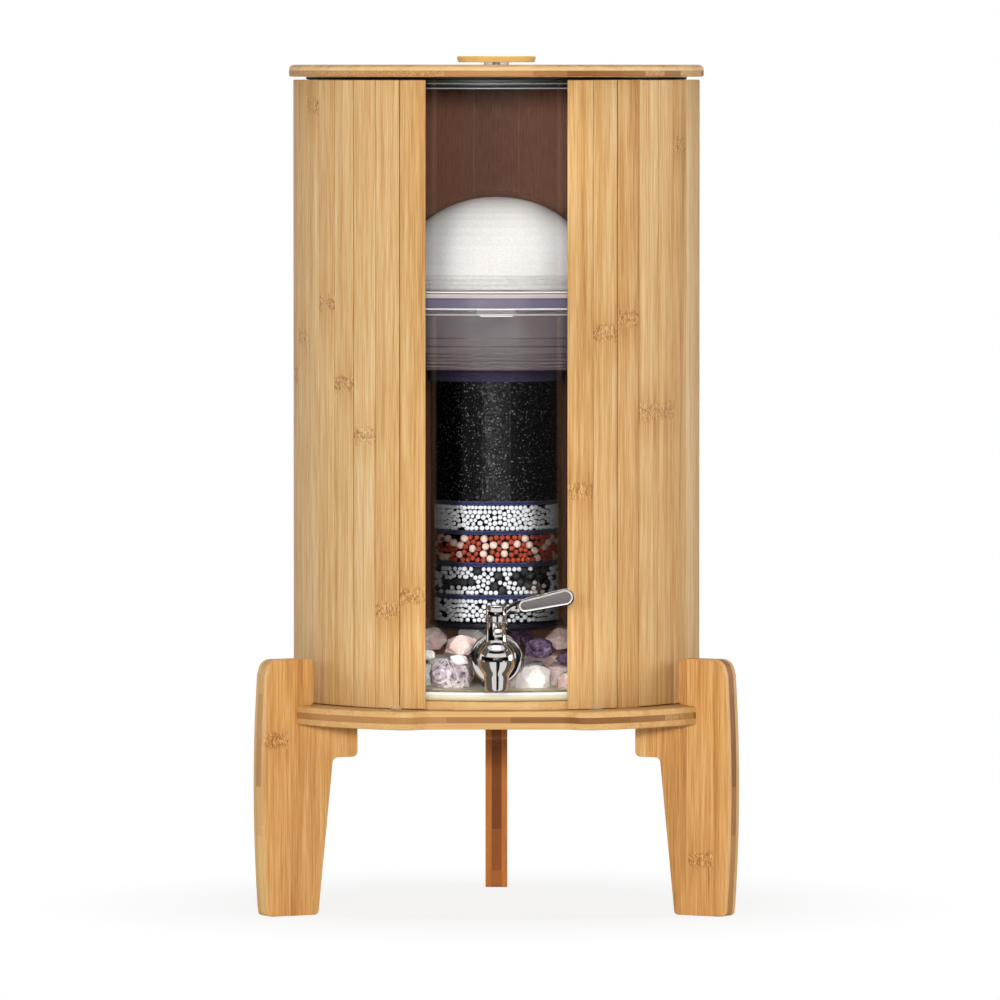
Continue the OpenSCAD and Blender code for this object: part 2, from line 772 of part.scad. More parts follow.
// Black ring under the lid: it rests on the tank's rim and dips inside it
module lid_ring() {
    spigot_r = tank_inner_r - 0.9;
    color("#141414")
        turned(concat(
            [[spigot_r - 3, upper_top - spigot_h], [spigot_r - 0.6, upper_top - spigot_h],
             [spigot_r, upper_top - spigot_h + 1], [spigot_r, upper_top]],
            arc([tank_r + 0.6, upper_top + 1.4], 1.4, -90, 0, 4),
            [[tank_r + 2, lid_z], [spigot_r - 9, lid_z], [spigot_r - 9, lid_z - 2.4], [spigot_r - 3, lid_z - 2.4]]));
}

module lid_knob() {
    color(bamboo)
    difference() {
        turned([[0, knob_z], [knob_r - 1.2, knob_z], [knob_r - 0.8, knob_z + 0.4], [knob_r, knob_z + knob_t - 0.8],
                [knob_r - 0.8, knob_z + knob_t], [0, knob_z + knob_t]]);
        translate([0, 0, knob_z - 1]) cylinder(r = screw_r + 0.02, h = 4.1);
    }
}

module knob_washer() {
    color("#f2f2ee") ring(9, screw_r + 0.1, lid_top, knob_z);
}

module knob_screw() {
    color(steel)
    union() {
        translate([0, 0, lid_z]) cylinder(r = screw_head_r, h = 2.6);
        translate([0, 0, lid_z + 1]) cylinder(r = screw_r, h = knob_z + 3 - lid_z - 1);
    }
}

// ---- Nodes ----

base_plate();
locating_disc();
leg_back();
leg_left();
leg_right();
cover_bumpers();
slat_cover();
cover_backing();
lower_tank();
stones_rose_quartz();
stones_amethyst();
stones_clear_quartz();
tap_body();
tap_flange();
tap_outer_seal();
tap_inner_seal();
tap_nut();
tap_cap();
valve_plug();
lever_arm();
lever_inset();
upper_tank();
stacking_ring();
ceramic_dome();
dome_base();
dome_washer();
stem_nut();
neck_gasket();
cartridge_cap();
cartridge_body();
cartridge_base();
cartridge_pads();
carbon_bed();
beads_white_upper();
beads_red();
beads_mixed();
beads_white_lower();
lid_board();
lid_ring();
lid_knob();
knob_washer();
knob_screw();
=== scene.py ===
"""Looks of a gravity water filter with tap. Metres, +Z up, the tap faces -Y."""

import math
import random

import bmesh
import bpy
import numpy as np
from mathutils import Matrix, Vector, noise


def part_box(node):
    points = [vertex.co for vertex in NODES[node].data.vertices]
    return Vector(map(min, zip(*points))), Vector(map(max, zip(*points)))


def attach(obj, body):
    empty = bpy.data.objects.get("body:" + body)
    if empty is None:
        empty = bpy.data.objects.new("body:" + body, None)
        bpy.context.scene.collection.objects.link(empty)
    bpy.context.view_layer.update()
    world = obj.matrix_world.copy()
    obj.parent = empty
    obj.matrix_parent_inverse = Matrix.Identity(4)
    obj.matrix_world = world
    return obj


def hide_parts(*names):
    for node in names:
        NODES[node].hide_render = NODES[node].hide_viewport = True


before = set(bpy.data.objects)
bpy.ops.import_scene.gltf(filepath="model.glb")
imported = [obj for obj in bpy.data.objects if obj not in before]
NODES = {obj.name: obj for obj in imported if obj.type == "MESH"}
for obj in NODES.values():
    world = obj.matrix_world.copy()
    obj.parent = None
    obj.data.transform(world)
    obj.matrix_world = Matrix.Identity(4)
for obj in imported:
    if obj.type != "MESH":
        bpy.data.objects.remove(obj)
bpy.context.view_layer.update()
random.seed(11)
rng = np.random.default_rng(11)

# Sizes that repeat the part's source
PLATE_TOP = 0.1485
SLAT_COUNT = 40
SLAT_PITCH = math.radians(8)
WINDOW_HALF = math.radians(20)
COVER_R = 0.145
COVER_H = 0.442
SLAT_T = 0.005
SLAT_GAP = 0.00045
SLAT_TAPER = 0.0018
LEG_TURNS = {"leg_back": math.pi, "leg_left": -math.pi / 3, "leg_right": math.pi / 3}
LEG_T = 0.016
LINING_INSET = 0.003
MEDIA_R = 0.04495
# how far the felt pads swell into the beads each side
FELT_SWELL = 0.0007
TAP_Y = -0.175
# the ledge round the lever's inlay lies 0.45 mm below the face of a lever 5 mm thick
LEDGE_Y = TAP_Y - 0.0025 + 0.00045
# a stone whose centre is higher than this lies on others
LOFTY = 0.178
# a thick part of a clear moulding lies in front of this depth: the finger lug's, or one behind all of it
LUG_Y = -0.1367
ALL_ROUND = 1.0


# ---- Small helpers ----

def linear(code):
    """Linear colour of an sRGB hex value."""
    parts = [int(code[i:i + 2], 16) / 255 for i in (1, 3, 5)]
    return [p / 12.92 if p <= 0.04045 else ((p + 0.055) / 1.055) ** 2.4 for p in parts] + [1.0]


def join(tree, node, links):
    """Sets inputs of a shader node, by name or in their order, each to a link, a hex colour or a value."""
    for name, value in links.items() if isinstance(links, dict) else enumerate(links):
        if isinstance(value, bpy.types.NodeSocket):
            tree.links.new(value, node.inputs[name])
        else:
            node.inputs[name].default_value = linear(value) if isinstance(value, str) else value


def add(tree, kind, settings=(), links=(), out=0):
    """Adds a shader node with its settings, or only its operation, and its inputs.

    Gives one of its outputs, or all of them where out is None."""
    node = tree.nodes.new("ShaderNode" + kind)
    settings = {"operation": settings} if isinstance(settings, str) else dict(settings)
    for name, value in settings.items():
        if name == "stops":
            ramp = node.color_ramp
            ramp.elements.remove(ramp.elements[0])
            ramp.elements[0].position, ramp.elements[0].color = value[0][0], linear(value[0][1])
            for place, code in value[1:]:
                ramp.elements.new(place).color = linear(code)
        else:
            setattr(node, name, value)
    join(tree, node, links)
    return node.outputs if out is None else node.outputs[out]


# Settings of nodes that are used often
SMOOTH = {"interpolation_type": "SMOOTHSTEP"}
COLOURS = {"data_type": "RGBA"}
ALONG_A_LINE = {"noise_dimensions": "1D"}
WITHIN_ONE = {"operation": "MULTIPLY_ADD", "use_clamp": True}


def new_material(name, inputs):
    """Starts a material, and gives it with its node tree and its surface shader."""
    made = bpy.data.materials.new(name)
    made.use_nodes = True
    surface = made.node_tree.nodes["Principled BSDF"]
    join(made.node_tree, surface, inputs)
    return made, made.node_tree, surface


def put(name, data):
    """Puts a mesh, a lamp or the camera in the scene as an object."""
    made = bpy.data.objects.new(name, data)
    bpy.context.scene.collection.objects.link(made)
    return made


def solid(name, points, faces, materials, face_kinds=None, sharp=40):
    """Makes an object from points and faces, smooth across edges flatter than sharp degrees."""
    mesh = bpy.data.meshes.new(name)
    mesh.from_pydata([tuple(p) for p in points], [], faces)
    for made in materials:
        mesh.materials.append(made)
    if face_kinds is not None:
        mesh.polygons.foreach_set("material_index", face_kinds)
    mesh.polygons.foreach_set("use_smooth", [True] * len(mesh.polygons))
    mesh.set_sharp_from_angle(angle=math.radians(sharp))
    mesh.validate()
    return put(name, mesh)


def replace(piece, body, slot, *nodes):
    """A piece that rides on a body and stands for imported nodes."""
    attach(piece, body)
    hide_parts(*nodes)
    return piece


def softened(node, width, materials, body, slot):
    """The node's own shape with its hard edges rounded over, or only smooth across its facets at a width of 0."""
    work = bmesh.new()
    work.from_mesh(NODES[node].data)
    bmesh.ops.remove_doubles(work, verts=work.verts, dist=1e-6)
    if width:
        bmesh.ops.dissolve_limit(work, angle_limit=math.radians(0.5), verts=work.verts, edges=work.edges)
    mesh = bpy.data.meshes.new(node + "_soft")
    work.to_mesh(mesh)
    work.free()
    mesh.materials.clear()
    for made in materials:
        mesh.materials.append(made)
    mesh.polygons.foreach_set("use_smooth", [True] * len(mesh.polygons))
    piece = put(node + "_soft", mesh)
    if width:
        rounding = piece.modifiers.new("rounding", "BEVEL")
        rounding.width = width
        rounding.segments = 3
        rounding.limit_method = "ANGLE"
        rounding.angle_limit = math.radians(30)
        rounding.harden_normals = True
    else:
        mesh.set_sharp_from_angle(angle=math.radians(28))
    return replace(piece, body, slot, node)


def round_place(turn, r, z):
    """A point at this radius and height. turn runs from the front towards +X."""
    return r * math.sin(turn), -r * math.cos(turn), z


def outward_and_sideways(turn):
    """Directions at a turn from the front: away from the axis, and round it."""
    return Vector(round_place(turn, 1, 0)), Vector((math.cos(turn), math.sin(turn), 0))


def wall_faces(first, steps, rows):
    """Faces between rows of points that each close on themselves, and of the two ends."""
    faces = []
    for k in range(rows):
        for i in range(steps):
            a, b = first + k * steps + i, first + k * steps + (i + 1) % steps
            faces.append((a, b, b + steps, a + steps))
    faces.append(tuple(first + i for i in reversed(range(steps))))
    faces.append(tuple(first + rows * steps + i for i in range(steps)))
    return faces


def round_wall(points, faces, rows, steps, rough=0.0):
    """Adds an upright round wall with closed ends to a mesh.

    rows are (height, radius), and rough is how far inwards its points are scattered."""
    first = len(points)
    for z, r in rows:
        for i in range(steps):
            inset = rough * rng.random() if rough else 0.0
            points.append(round_place(2 * math.pi * i / steps, r - inset, z))
    faces += wall_faces(first, steps, len(rows) - 1)


# ---- Bamboo ----

def board_place(tree, turn, upright, kind):
    """The parts of a place or a normal across, along and into a board. turn is the board's turn about Z."""
    place = add(tree, "TexCoord", out=kind)
    place = add(tree, "VectorRotate", {"rotation_type": "Z_AXIS"}, {"Vector": place, "Angle": -turn})
    parts = add(tree, "SeparateXYZ", links=(place,), out=None)
    # a leg stands radially: its grain runs up and its thickness lies along the turned X
    return (parts[1], parts[2], parts[0]) if upright else (parts[1], parts[0], parts[2])


def fibres(tree, across, along, into, tone, knuckle, shades):
    """Bamboo: fibres along the strip, a tone of its own for each strip, and a speckled knuckle.

    knuckle is the distance along the strip from its knuckle, in metres."""
    whole = add(tree, "CombineXYZ", links=(across, along, into))
    # the knuckle is a band 12 mm long where the bundles cross, with a stain that fades away from it
    near = add(tree, "Math", "ABSOLUTE", (knuckle,))
    ragged = add(tree, "TexNoise", links={"Vector": whole, "Scale": 260.0, "Detail": 2.0})
    near = add(tree, "Math", "ADD", (near, add(tree, "Math", "MULTIPLY_ADD", (ragged, 0.008, -0.004))))
    band = add(tree, "MapRange", SMOOTH, (near, 0.0075, 0.003, 0.0, 1.0))
    stain = add(tree, "MapRange", SMOOTH, (near, 0.03, 0.003, 0.0, 1.0))
    # vascular bundles are 0.3 to 0.6 mm wide, drawn 0.9 mm wide so that they show
    shift = add(tree, "CombineXYZ", links={
        0: add(tree, "Math", "MULTIPLY", (tone, 3.7)), 1: add(tree, "Math", "MULTIPLY", (tone, 1.9)),
        2: add(tree, "Math", "MULTIPLY", (band, 0.0006))})
    place = add(tree, "CombineXYZ", links=(across, add(tree, "Math", "MULTIPLY", (along, 0.02)), into))
    place = add(tree, "VectorMath", "ADD", (place, shift))
    fine = add(tree, "TexNoise", links={"Vector": place, "Scale": 1150.0, "Detail": 2.5, "Roughness": 0.65})
    fine = add(tree, "MapRange", links=(fine, 0.34, 0.66))
    broad = add(tree, "TexNoise", links={"Vector": place, "Scale": 210.0, "Detail": 2.0})
    broad = add(tree, "MapRange", links=(broad, 0.3, 0.7))
    # short dashes 1.3 mm wide and 2.5 mm long, drawn coarse
    dashes = add(tree, "VectorMath", "MULTIPLY", (whole, (1.0, 0.5, 1.0)))
    speck = add(tree, "TexNoise", links={"Vector": dashes, "Scale": 780.0, "Detail": 1.0, "Distortion": 1.2})
    dark = add(tree, "MapRange", links=(speck, 0.50, 0.62))
    pale = add(tree, "MapRange", links=(speck, 0.46, 0.36))
    light = add(tree, "Math", "MULTIPLY_ADD", (fine, 0.44, add(tree, "Math", "MULTIPLY", (broad, 0.36))))
    light = add(tree, "Math", "MULTIPLY_ADD", (tone, 0.42, add(tree, "Math", "ADD", (light, -0.11))))
    light = add(tree, "Math", "MULTIPLY_ADD", (stain, -0.12, light))
    light = add(tree, "Math", WITHIN_ONE, (add(tree, "Math", "MULTIPLY", (band, pale)), 0.25, light))
    colour = add(tree, "ValToRGB", {"stops": shades}, (light,))
    spots = add(tree, "Math", "MULTIPLY", (band, dark))
    share = add(tree, "Math", "MULTIPLY", (spots, 0.8))
    colour = add(tree, "Mix", COLOURS, {0: share, 6: colour, 7: "#8F5A2B"}, out=2)
    grain = add(tree, "Math", "MULTIPLY_ADD", (spots, -1.0, fine))
    return colour, grain


def oiled(tree, surface, colour, grain):
    """Joins a bamboo colour and its grain to the surface, as sanded and oiled wood."""
    bump = add(tree, "Bump", links={"Strength": 0.35, "Distance": 0.0002, "Height": grain})
    rough = add(tree, "MapRange", links=(grain, 0.2, 0.8, 0.56, 0.44))
    join(tree, surface, {"Base Color": colour, "Normal": bump, "Roughness": rough})


# Width of the strips that a board is glued up from
STRIP = 0.021
BAMBOO_FACE = [(0.0, "#9E6C3C"), (0.25, "#B7854D"), (0.5, "#C79B62"), (0.75, "#D0AC78"), (1.0, "#DBC095")]
BAMBOO_LEG = [(0.0, "#9C6732"), (0.25, "#BA8247"), (0.5, "#CE9858"), (0.75, "#DBAA6B"), (1.0, "#E5BE8A")]
# painted shade: the back leg's strips, darker and redder as it stands in shade
BAMBOO_PAINTED_SHADE = [(0.0, "#9A5A24"), (0.5, "#BA7132"), (1.0, "#CC8A4A")]
BAMBOO_KNOB = [(0.0, "#DCA852"), (0.5, "#F3C36A"), (1.0, "#FBD581")]
BAMBOO_CORE = [(0.0, "#7F5028"), (0.3, "#9E6C3C"), (0.6, "#B5834C"), (1.0, "#CDA066")]
PALE_CORE = [(0.0, "#A87746"), (0.25, "#CFA264"), (0.6, "#DFB878"), (1.0, "#E6C48C")]
# painted shade: the back leg's core, darker as it stands in shade
CORE_PAINTED_SHADE = [(0.0, "#6A3816"), (0.3, "#8E4E20"), (0.6, "#A5642A"), (1.0, "#C08542")]


def bamboo_board(name, turn, upright, thick, layers, block, shades=BAMBOO_FACE, knot=(9.0, 9.1, 0.0),
                 edge_shade="#E0B87A", core_shades=BAMBOO_CORE):
    """Bamboo ply: strips glued edge to edge, sanded and oiled, which gives long fibres on the faces, and on
    the edges two pale outer layers with a darker crossing layer between them.

    thick is (middle, half) of the board's thickness, layers are the levels of the core as shares of half,
    block is the length of a strip's end in the core, and knot is (from, to, along) of one knuckle, which lies
    off the board where none shows."""
    made, tree, surface = new_material(name, {"Roughness": 0.5, "Specular IOR Level": 0.3})
    across, along, into = board_place(tree, turn, upright, "Object")
    # each strip has its own tone
    which = add(tree, "Math", "DIVIDE", (add(tree, "Math", "SUBTRACT", (across, knot[0])), STRIP))
    tone = add(tree, "TexWhiteNoise", ALONG_A_LINE, {"W": add(tree, "Math", "FLOOR", (which,))})
    tone = add(tree, "Math", "MULTIPLY_ADD", (tone, 0.5, 0.25))
    before = add(tree, "Math", "LESS_THAN", (across, knot[0]))
    beside = add(tree, "Math", "MAXIMUM", (before, add(tree, "Math", "GREATER_THAN", (across, knot[1]))))
    knuckle = add(tree, "Math", "ADD", (add(tree, "Math", "SUBTRACT", (along, knot[2])), beside))
    face, grain = fibres(tree, across, along, into, tone, knuckle, shades)
    # the sanded edge of the outer layers is paler than their faces
    facing = add(tree, "Math", "ABSOLUTE", (board_place(tree, turn, upright, "Normal")[2],))
    edge = add(tree, "MapRange", SMOOTH, (facing, 0.75, 0.35))
    rim = add(tree, "Mix", COLOURS, {0: add(tree, "Math", "MULTIPLY", (edge, 0.45)), 6: face, 7: edge_shade}, out=2)
    depth = add(tree, "Math", "DIVIDE", (add(tree, "Math", "SUBTRACT", (into, thick[0])), thick[1]))
    which = add(tree, "Math", "DIVIDE", (add(tree, "Math", "ADD", (along, across)), block))
    core_tone = add(tree, "TexWhiteNoise", ALONG_A_LINE, {"W": add(tree, "Math", "FLOOR", (which,))})
    # cut bundle ends are dots 0.5 mm wide, drawn 0.9 mm wide, on some of the strips
    place = add(tree, "TexCoord", out="Object")
    dots = add(tree, "TexNoise", links={"Vector": place, "Scale": 1100.0, "Detail": 1.0})
    dots = add(tree, "Math", "SUBTRACT", (dots, 0.5))
    dots = add(tree, "Math", "MULTIPLY", (dots, add(tree, "Math", "GREATER_THAN", (core_tone, 0.55))))
    dots = add(tree, "Math", "MULTIPLY_ADD", (dots, 1.8, 0.05))
    core_light = add(tree, "Math", WITHIN_ONE, (core_tone, 0.9, dots))
    core = add(tree, "ValToRGB", {"stops": core_shades}, (core_light,))
    inside = add(tree, "Math", "GREATER_THAN", (depth, layers[0]))
    inside = add(tree, "Math", "MULTIPLY", (inside, add(tree, "Math", "LESS_THAN", (depth, layers[1]))))
    colour = add(tree, "Mix", COLOURS, {0: inside, 6: rim, 7: core}, out=2)
    # a thin glue line each side of the core
    line = [add(tree, "Math", "SUBTRACT", (depth, level)) for level in layers]
    line = add(tree, "Math", "MINIMUM", [add(tree, "Math", "ABSOLUTE", (gap,)) for gap in line])
    line = add(tree, "Math", "MULTIPLY", (add(tree, "Math", "LESS_THAN", (line, 0.0002 / thick[1])), 0.35))
    colour = add(tree, "Mix", COLOURS, {0: line, 6: colour, 7: "#7A4A22"}, out=2)
    oiled(tree, surface, colour, grain)
    return made


def bamboo_slat():
    """Split bamboo slats, planed and oiled: long even fibres, and a speckled knuckle on some slats."""
    made, tree, surface = new_material("bamboo_slat", {"Specular IOR Level": 0.2})
    place = add(tree, "SeparateXYZ", links=(add(tree, "UVMap", {"uv_map": "slat"}),), out=None)
    tone = add(tree, "Attribute", {"attribute_name": "tone"}, out="Fac")
    knuckle = add(tree, "Attribute", {"attribute_name": "knuckle"}, out="Fac")
    into = add(tree, "Attribute", {"attribute_name": "depth"}, out="Fac")
    colour, grain = fibres(tree, place[0], place[1], into, tone, knuckle, BAMBOO_FACE)
    oiled(tree, surface, colour, grain)
    return made


# ---- Other finishes ----

def ribbed_cloth():
    """Brown cotton lining with a fine upright rib, woven and matt."""
    made, tree, surface = new_material("ribbed_cotton", {
        "Roughness": 0.95, "Specular IOR Level": 0.15, "Sheen Weight": 0.25, "Sheen Roughness": 0.5})
    place = add(tree, "SeparateXYZ", links=(add(tree, "UVMap", {"uv_map": "cloth"}),), out=None)
    # ribs 1.1 mm apart, as coarse as they need to show; the wave repeats about 3.15 times in a unit
    ribs = add(tree, "CombineXYZ", links=(add(tree, "Math", "MULTIPLY", (place[0], 1 / (0.0011 * 3.15))),))
    rib = add(tree, "TexWave", {"wave_type": "BANDS", "bands_direction": "X"},
              {"Vector": ribs, "Scale": 1.0, "Distortion": 0.6, "Detail": 1.0}, out="Fac")
    slubs = add(tree, "CombineXYZ", links=(place[0], add(tree, "Math", "MULTIPLY", (place[1], 0.12))))
    slub = add(tree, "TexNoise", links={"Vector": slubs, "Scale": 800.0, "Detail": 3.0})
    shade = [add(tree, "Math", "MULTIPLY", pair) for pair in ((rib, 0.35), (slub, 0.65))]
    shade = add(tree, "Math", "ADD", shade)
    colour = add(tree, "ValToRGB", {"stops": [(0.25, "#553629"), (0.5, "#694536"), (0.8, "#7C5644")]}, (shade,))
    bump = add(tree, "Bump", links={"Strength": 0.6, "Distance": 0.0004, "Height": rib})
    join(tree, surface, {"Base Color": colour, "Normal": bump})
    return made


def clear(name, colour, ior, roughness=0.02, clarity=1.0, thick=(), wave=0.02, edge=None):
    """Clear moulded plastic or rubber. Light from the lamps passes, so what is inside stays lit.

    thick lists (low, high, colour, share, front): between two heights, and in front of a place on Y, the moulding
    is thick, and a colour is mixed in there: its own tint, and painted highlights and painted shade lines for its
    thick edges. edge is the tint of light that meets the wall at a slant, and of what is seen through it there:
    partly the light that the two faces of a narrow tube throw back, and mostly painted shade that darkens the
    sides."""
    made, tree, surface = new_material(name, {"Base Color": colour, "IOR": ior, "Transmission Weight": clarity})
    if edge:
        # painted shade: at a slant the tint turns grey, for what is seen through it and for the light that passes
        painted_slant_shade = add(tree, "LayerWeight", links={"Blend": 0.5}, out="Facing")
        painted_slant_shade = add(tree, "MapRange", SMOOTH, (painted_slant_shade, 0.10, 0.22))
        colour = add(tree, "Mix", COLOURS, {0: painted_slant_shade, 6: colour, 7: edge}, out=2)
        join(tree, surface, {"Base Color": colour})
    # moulding leaves a slight waviness, 20 mm from crest to crest
    place = add(tree, "TexCoord", out="Object")
    ripple = add(tree, "TexNoise", links={"Vector": place, "Scale": 50.0, "Detail": 0.0})
    bump = add(tree, "Bump", links={"Strength": wave, "Distance": 0.0005, "Height": ripple})
    gloss = add(tree, "MapRange", links=(ripple, 0.3, 0.7, roughness * 0.8, roughness * 1.2))
    join(tree, surface, {"Normal": bump, "Roughness": gloss})
    body = surface.outputs[0]
    parts = add(tree, "SeparateXYZ", links=(place,), out=None)
    for low, high, tint, share, front in thick:
        there = add(tree, "Math", "GREATER_THAN", (parts[2], low))
        there = add(tree, "Math", "MULTIPLY", (there, add(tree, "Math", "LESS_THAN", (parts[2], high))))
        there = add(tree, "Math", "MULTIPLY", (there, add(tree, "Math", "LESS_THAN", (parts[1], front))))
        # the band's colour: the moulding's own tint in places, and painted highlights and painted shade lines
        # elsewhere
        tint_painted_light_and_shade = add(tree, "BsdfPrincipled", links={"Base Color": tint, "Roughness": 0.3, "IOR": ior})
        body = add(tree, "MixShader", links=(add(tree, "Math", "MULTIPLY", (there, share)), body, tint_painted_light_and_shade))
    passing = add(tree, "BsdfTransparent", links={"Color": colour})
    mixed = add(tree, "MixShader", links=(add(tree, "LightPath", out="Is Shadow Ray"), body, passing))
    join(tree, tree.nodes["Material Output"], {"Surface": mixed})
    return made


def plain(name, dark, light, scale, inputs, rough, bump=0.1, deep=0.0002):
    """A finish whose tone and gloss vary finely between two values. scale is in patterns a metre."""
    made, tree, surface = new_material(name, inputs)
    place = add(tree, "TexCoord", out="Object")
    vary = add(tree, "TexNoise", links={"Vector": place, "Scale": scale, "Detail": 3.0})
    colour = add(tree, "ValToRGB", {"stops": [(0.35, dark), (0.65, light)]}, (vary,))
    gloss = add(tree, "MapRange", links=(vary, 0.3, 0.7, rough[0], rough[1]))
    lift = add(tree, "Bump", links={"Strength": bump, "Distance": deep, "Height": vary})
    join(tree, surface, {"Base Color": colour, "Roughness": gloss, "Normal": lift})
    return made


def polished_steel():
    """Stainless steel, turned and mirror polished: sharp reflections with faint buffing haze."""
    made, tree, surface = new_material("polished_stainless_steel", {"Metallic": 1.0, "Base Color": "#D6D2CE"})
    place = add(tree, "TexCoord", out="Object")
    haze = add(tree, "TexNoise", links={"Vector": place, "Scale": 350.0, "Detail": 4.0})
    gloss = add(tree, "MapRange", links=(haze, 0.3, 0.7, 0.03, 0.09))
    join(tree, surface, {"Roughness": gloss})
    return made


def stone_finish(name, dark, light, streak, inputs, scale, veins=0.03, crystal=0.0):
    """Raw quartz: cloudy inside, with streaks and small bright breaks.

    veins is how wide the streaks run, and crystal how much each small crystal differs in tone."""
    made, tree, surface = new_material(name, inputs)
    place = add(tree, "TexCoord", out="Object")
    cloud = add(tree, "TexNoise", links={"Vector": place, "Scale": scale, "Detail": 5.0, "Roughness": 0.6})
    # crystal faces break the surface every 2 mm or so
    facet = add(tree, "TexVoronoi", {"feature": "F1"}, {"Vector": place, "Scale": 420.0}, out=None)
    tone = add(tree, "Math", "SUBTRACT", (add(tree, "SeparateColor", links=(facet["Color"],)), 0.5))
    tone = add(tree, "Math", "ADD", (cloud, add(tree, "Math", "MULTIPLY", (tone, crystal))))
    colour = add(tree, "ValToRGB", {"stops": [(0.3, dark), (0.62, light)]}, (tone,))
    vein = add(tree, "TexNoise", links={"Vector": place, "Scale": scale * 0.6, "Detail": 3.0, "Distortion": 3.0})
    vein = add(tree, "Math", "ABSOLUTE", (add(tree, "Math", "SUBTRACT", (vein, 0.5)),))
    vein = add(tree, "MapRange", links=(vein, veins, 0.0, 0.0, 0.8))
    colour = add(tree, "Mix", COLOURS, {0: vein, 6: colour, 7: streak}, out=2)
    lift = add(tree, "Bump", links={"Strength": 0.6, "Distance": 0.0008, "Height": facet["Distance"]})
    join(tree, surface, {"Base Color": colour, "Normal": lift})
    return made


SLAT_BAMBOO = bamboo_slat()
PLATE_BAMBOO = bamboo_board("bamboo_ply_plate", 0.0, False, (0.142, 0.0065), (-0.30, 0.34), 0.045,
                            edge_shade="#DDB06E")
DISC_BAMBOO = bamboo_board("bamboo_disc", 0.0, False, (0.1515, 0.003), (2.0, 3.0), 0.045)
LID_BAMBOO = bamboo_board("bamboo_ply_lid", 0.0, False, (0.5969, 0.0043), (-0.9, 0.0), 0.03,
                          edge_shade="#F6D6A0")
KNOB_BAMBOO = bamboo_board("bamboo_knob", 0.0, False, (0.6051, 0.0022), (2.0, 3.0), 0.021, BAMBOO_KNOB)
# knots of the legs: distance from the axis, as the legs lie along -Y before they are turned, and height
LEG_KNOTS = {"leg_back": (-0.178, -0.158, 0.09), "leg_left": (-0.1935, -0.1735, 0.125),
             "leg_right": (-0.181, -0.161, 0.040)}
# the back leg stands in shade, painted into its darker, redder strips, edges and core; the left one has a pale core
LEG_SHADES = {"leg_back": (BAMBOO_PAINTED_SHADE, "#BA7132", CORE_PAINTED_SHADE), "leg_left": (BAMBOO_LEG, "#E9C486", PALE_CORE),
              "leg_right": (BAMBOO_LEG, "#E9C486", BAMBOO_CORE)}
LEG_BAMBOO = {}
for leg, turn in LEG_TURNS.items():
    face, rim, core = LEG_SHADES[leg]
    LEG_BAMBOO[leg] = bamboo_board("bamboo_ply_" + leg, turn, True, (0.0, LEG_T / 2), (-0.46, 0.42), 0.034, face,
                                   LEG_KNOTS[leg], rim, core)
COTTON = ribbed_cloth()
# moulded clear silicone: a soft gloss
SILICONE = clear("clear_silicone", "#F2F2F2", 1.43, roughness=0.15)
# Where the clear mouldings are thick: the floor, the rim's two edges and the finger lug of the lower tank. The
# floor is partly its tint and partly painted light, and the rest are painted highlights round a grey band on the
# lug
LOWER_PAINTED_LIGHT = [
    (0.15, 0.1590, "#EFEBCB", 0.85, ALL_ROUND), (0.1590, 0.1606, "#FAFAFC", 0.9, ALL_ROUND),
    (0.4257, 0.4264, "#E4DEE2", 0.6, ALL_ROUND), (0.4294, 0.4301, "#F0EAEE", 0.7, ALL_ROUND),
    (0.4264, 0.4302, "#A89C9C", 0.35, LUG_Y), (0.4240, 0.4254, "#F6F2F4", 0.95, LUG_Y),
    (0.4296, 0.4306, "#F6F2F4", 0.95, LUG_Y)]
# painted highlights on the flange of the upper tank, a painted white line in front of the dark gap under the dome's
# base, and grey lines on its rim
UPPER_PAINTED_LIGHT = [
    (0.4376, 0.4398, "#D9C9C0", 0.7, ALL_ROUND), (0.4398, 0.4406, "#E6DCD6", 0.7, ALL_ROUND),
    (0.4412, 0.4420, "#FFFFFF", 0.95, ALL_ROUND), (0.5842, 0.5849, "#9A9698", 0.5, ALL_ROUND),
    (0.5876, 0.5883, "#8E907A", 0.45, ALL_ROUND)]
# moulded clear copolyester: like glass, with a slight wave, and with its tint and painted highlights where it is
# thick
LOWER_PLASTIC = clear("clear_copolyester_lower", "#FEFEFE", 1.55, thick=LOWER_PAINTED_LIGHT, wave=0.008)
UPPER_PLASTIC = clear("clear_copolyester_upper", "#FEFEFE", 1.55, thick=UPPER_PAINTED_LIGHT)
# extruded clear styrene: even and bright, with painted shade where it is seen at a slant, darkening the filling's
# sides
TUBE_PLASTIC = clear("clear_styrene", "#FBFCFE", 1.57, roughness=0.01, wave=0.0, edge="#B4B4B4")
# moulded violet styrene: see-through, but dark
CAP_PLASTIC = clear("violet_styrene", "#7E739A", 1.57, roughness=0.08, clarity=0.85)
# the ring's flange is violet, its own tint; on its skirt, its step and its ribs are painted shade, dark lines 1 mm
# high
RING_TINT_AND_PAINTED_SHADE = [(0.4366, 0.4376, "#4E4878", 0.6, ALL_ROUND), (0.4308, 0.4366, "#6F6888", 0.55, ALL_ROUND)]
for rib in (0.4093, 0.4036, 0.3982, 0.3956, 0.3932, 0.3908, 0.3884):
    RING_TINT_AND_PAINTED_SHADE.append((rib - 0.0005, rib + 0.0005, "#382A2A", 0.9, ALL_ROUND))
# moulded violet polycarbonate: hazy, so that what is behind it is soft
RING_PLASTIC = clear("hazy_violet_polycarbonate", "#A99EA0", 1.5, roughness=0.14, clarity=0.80, thick=RING_TINT_AND_PAINTED_SHADE)
STEEL = polished_steel()
# turned stainless steel: a soft grey shine
SATIN_STEEL = plain("satin_stainless_steel", "#9A9794", "#B4B1AE", 900, {"Metallic": 1.0}, (0.28, 0.4), 0.05)
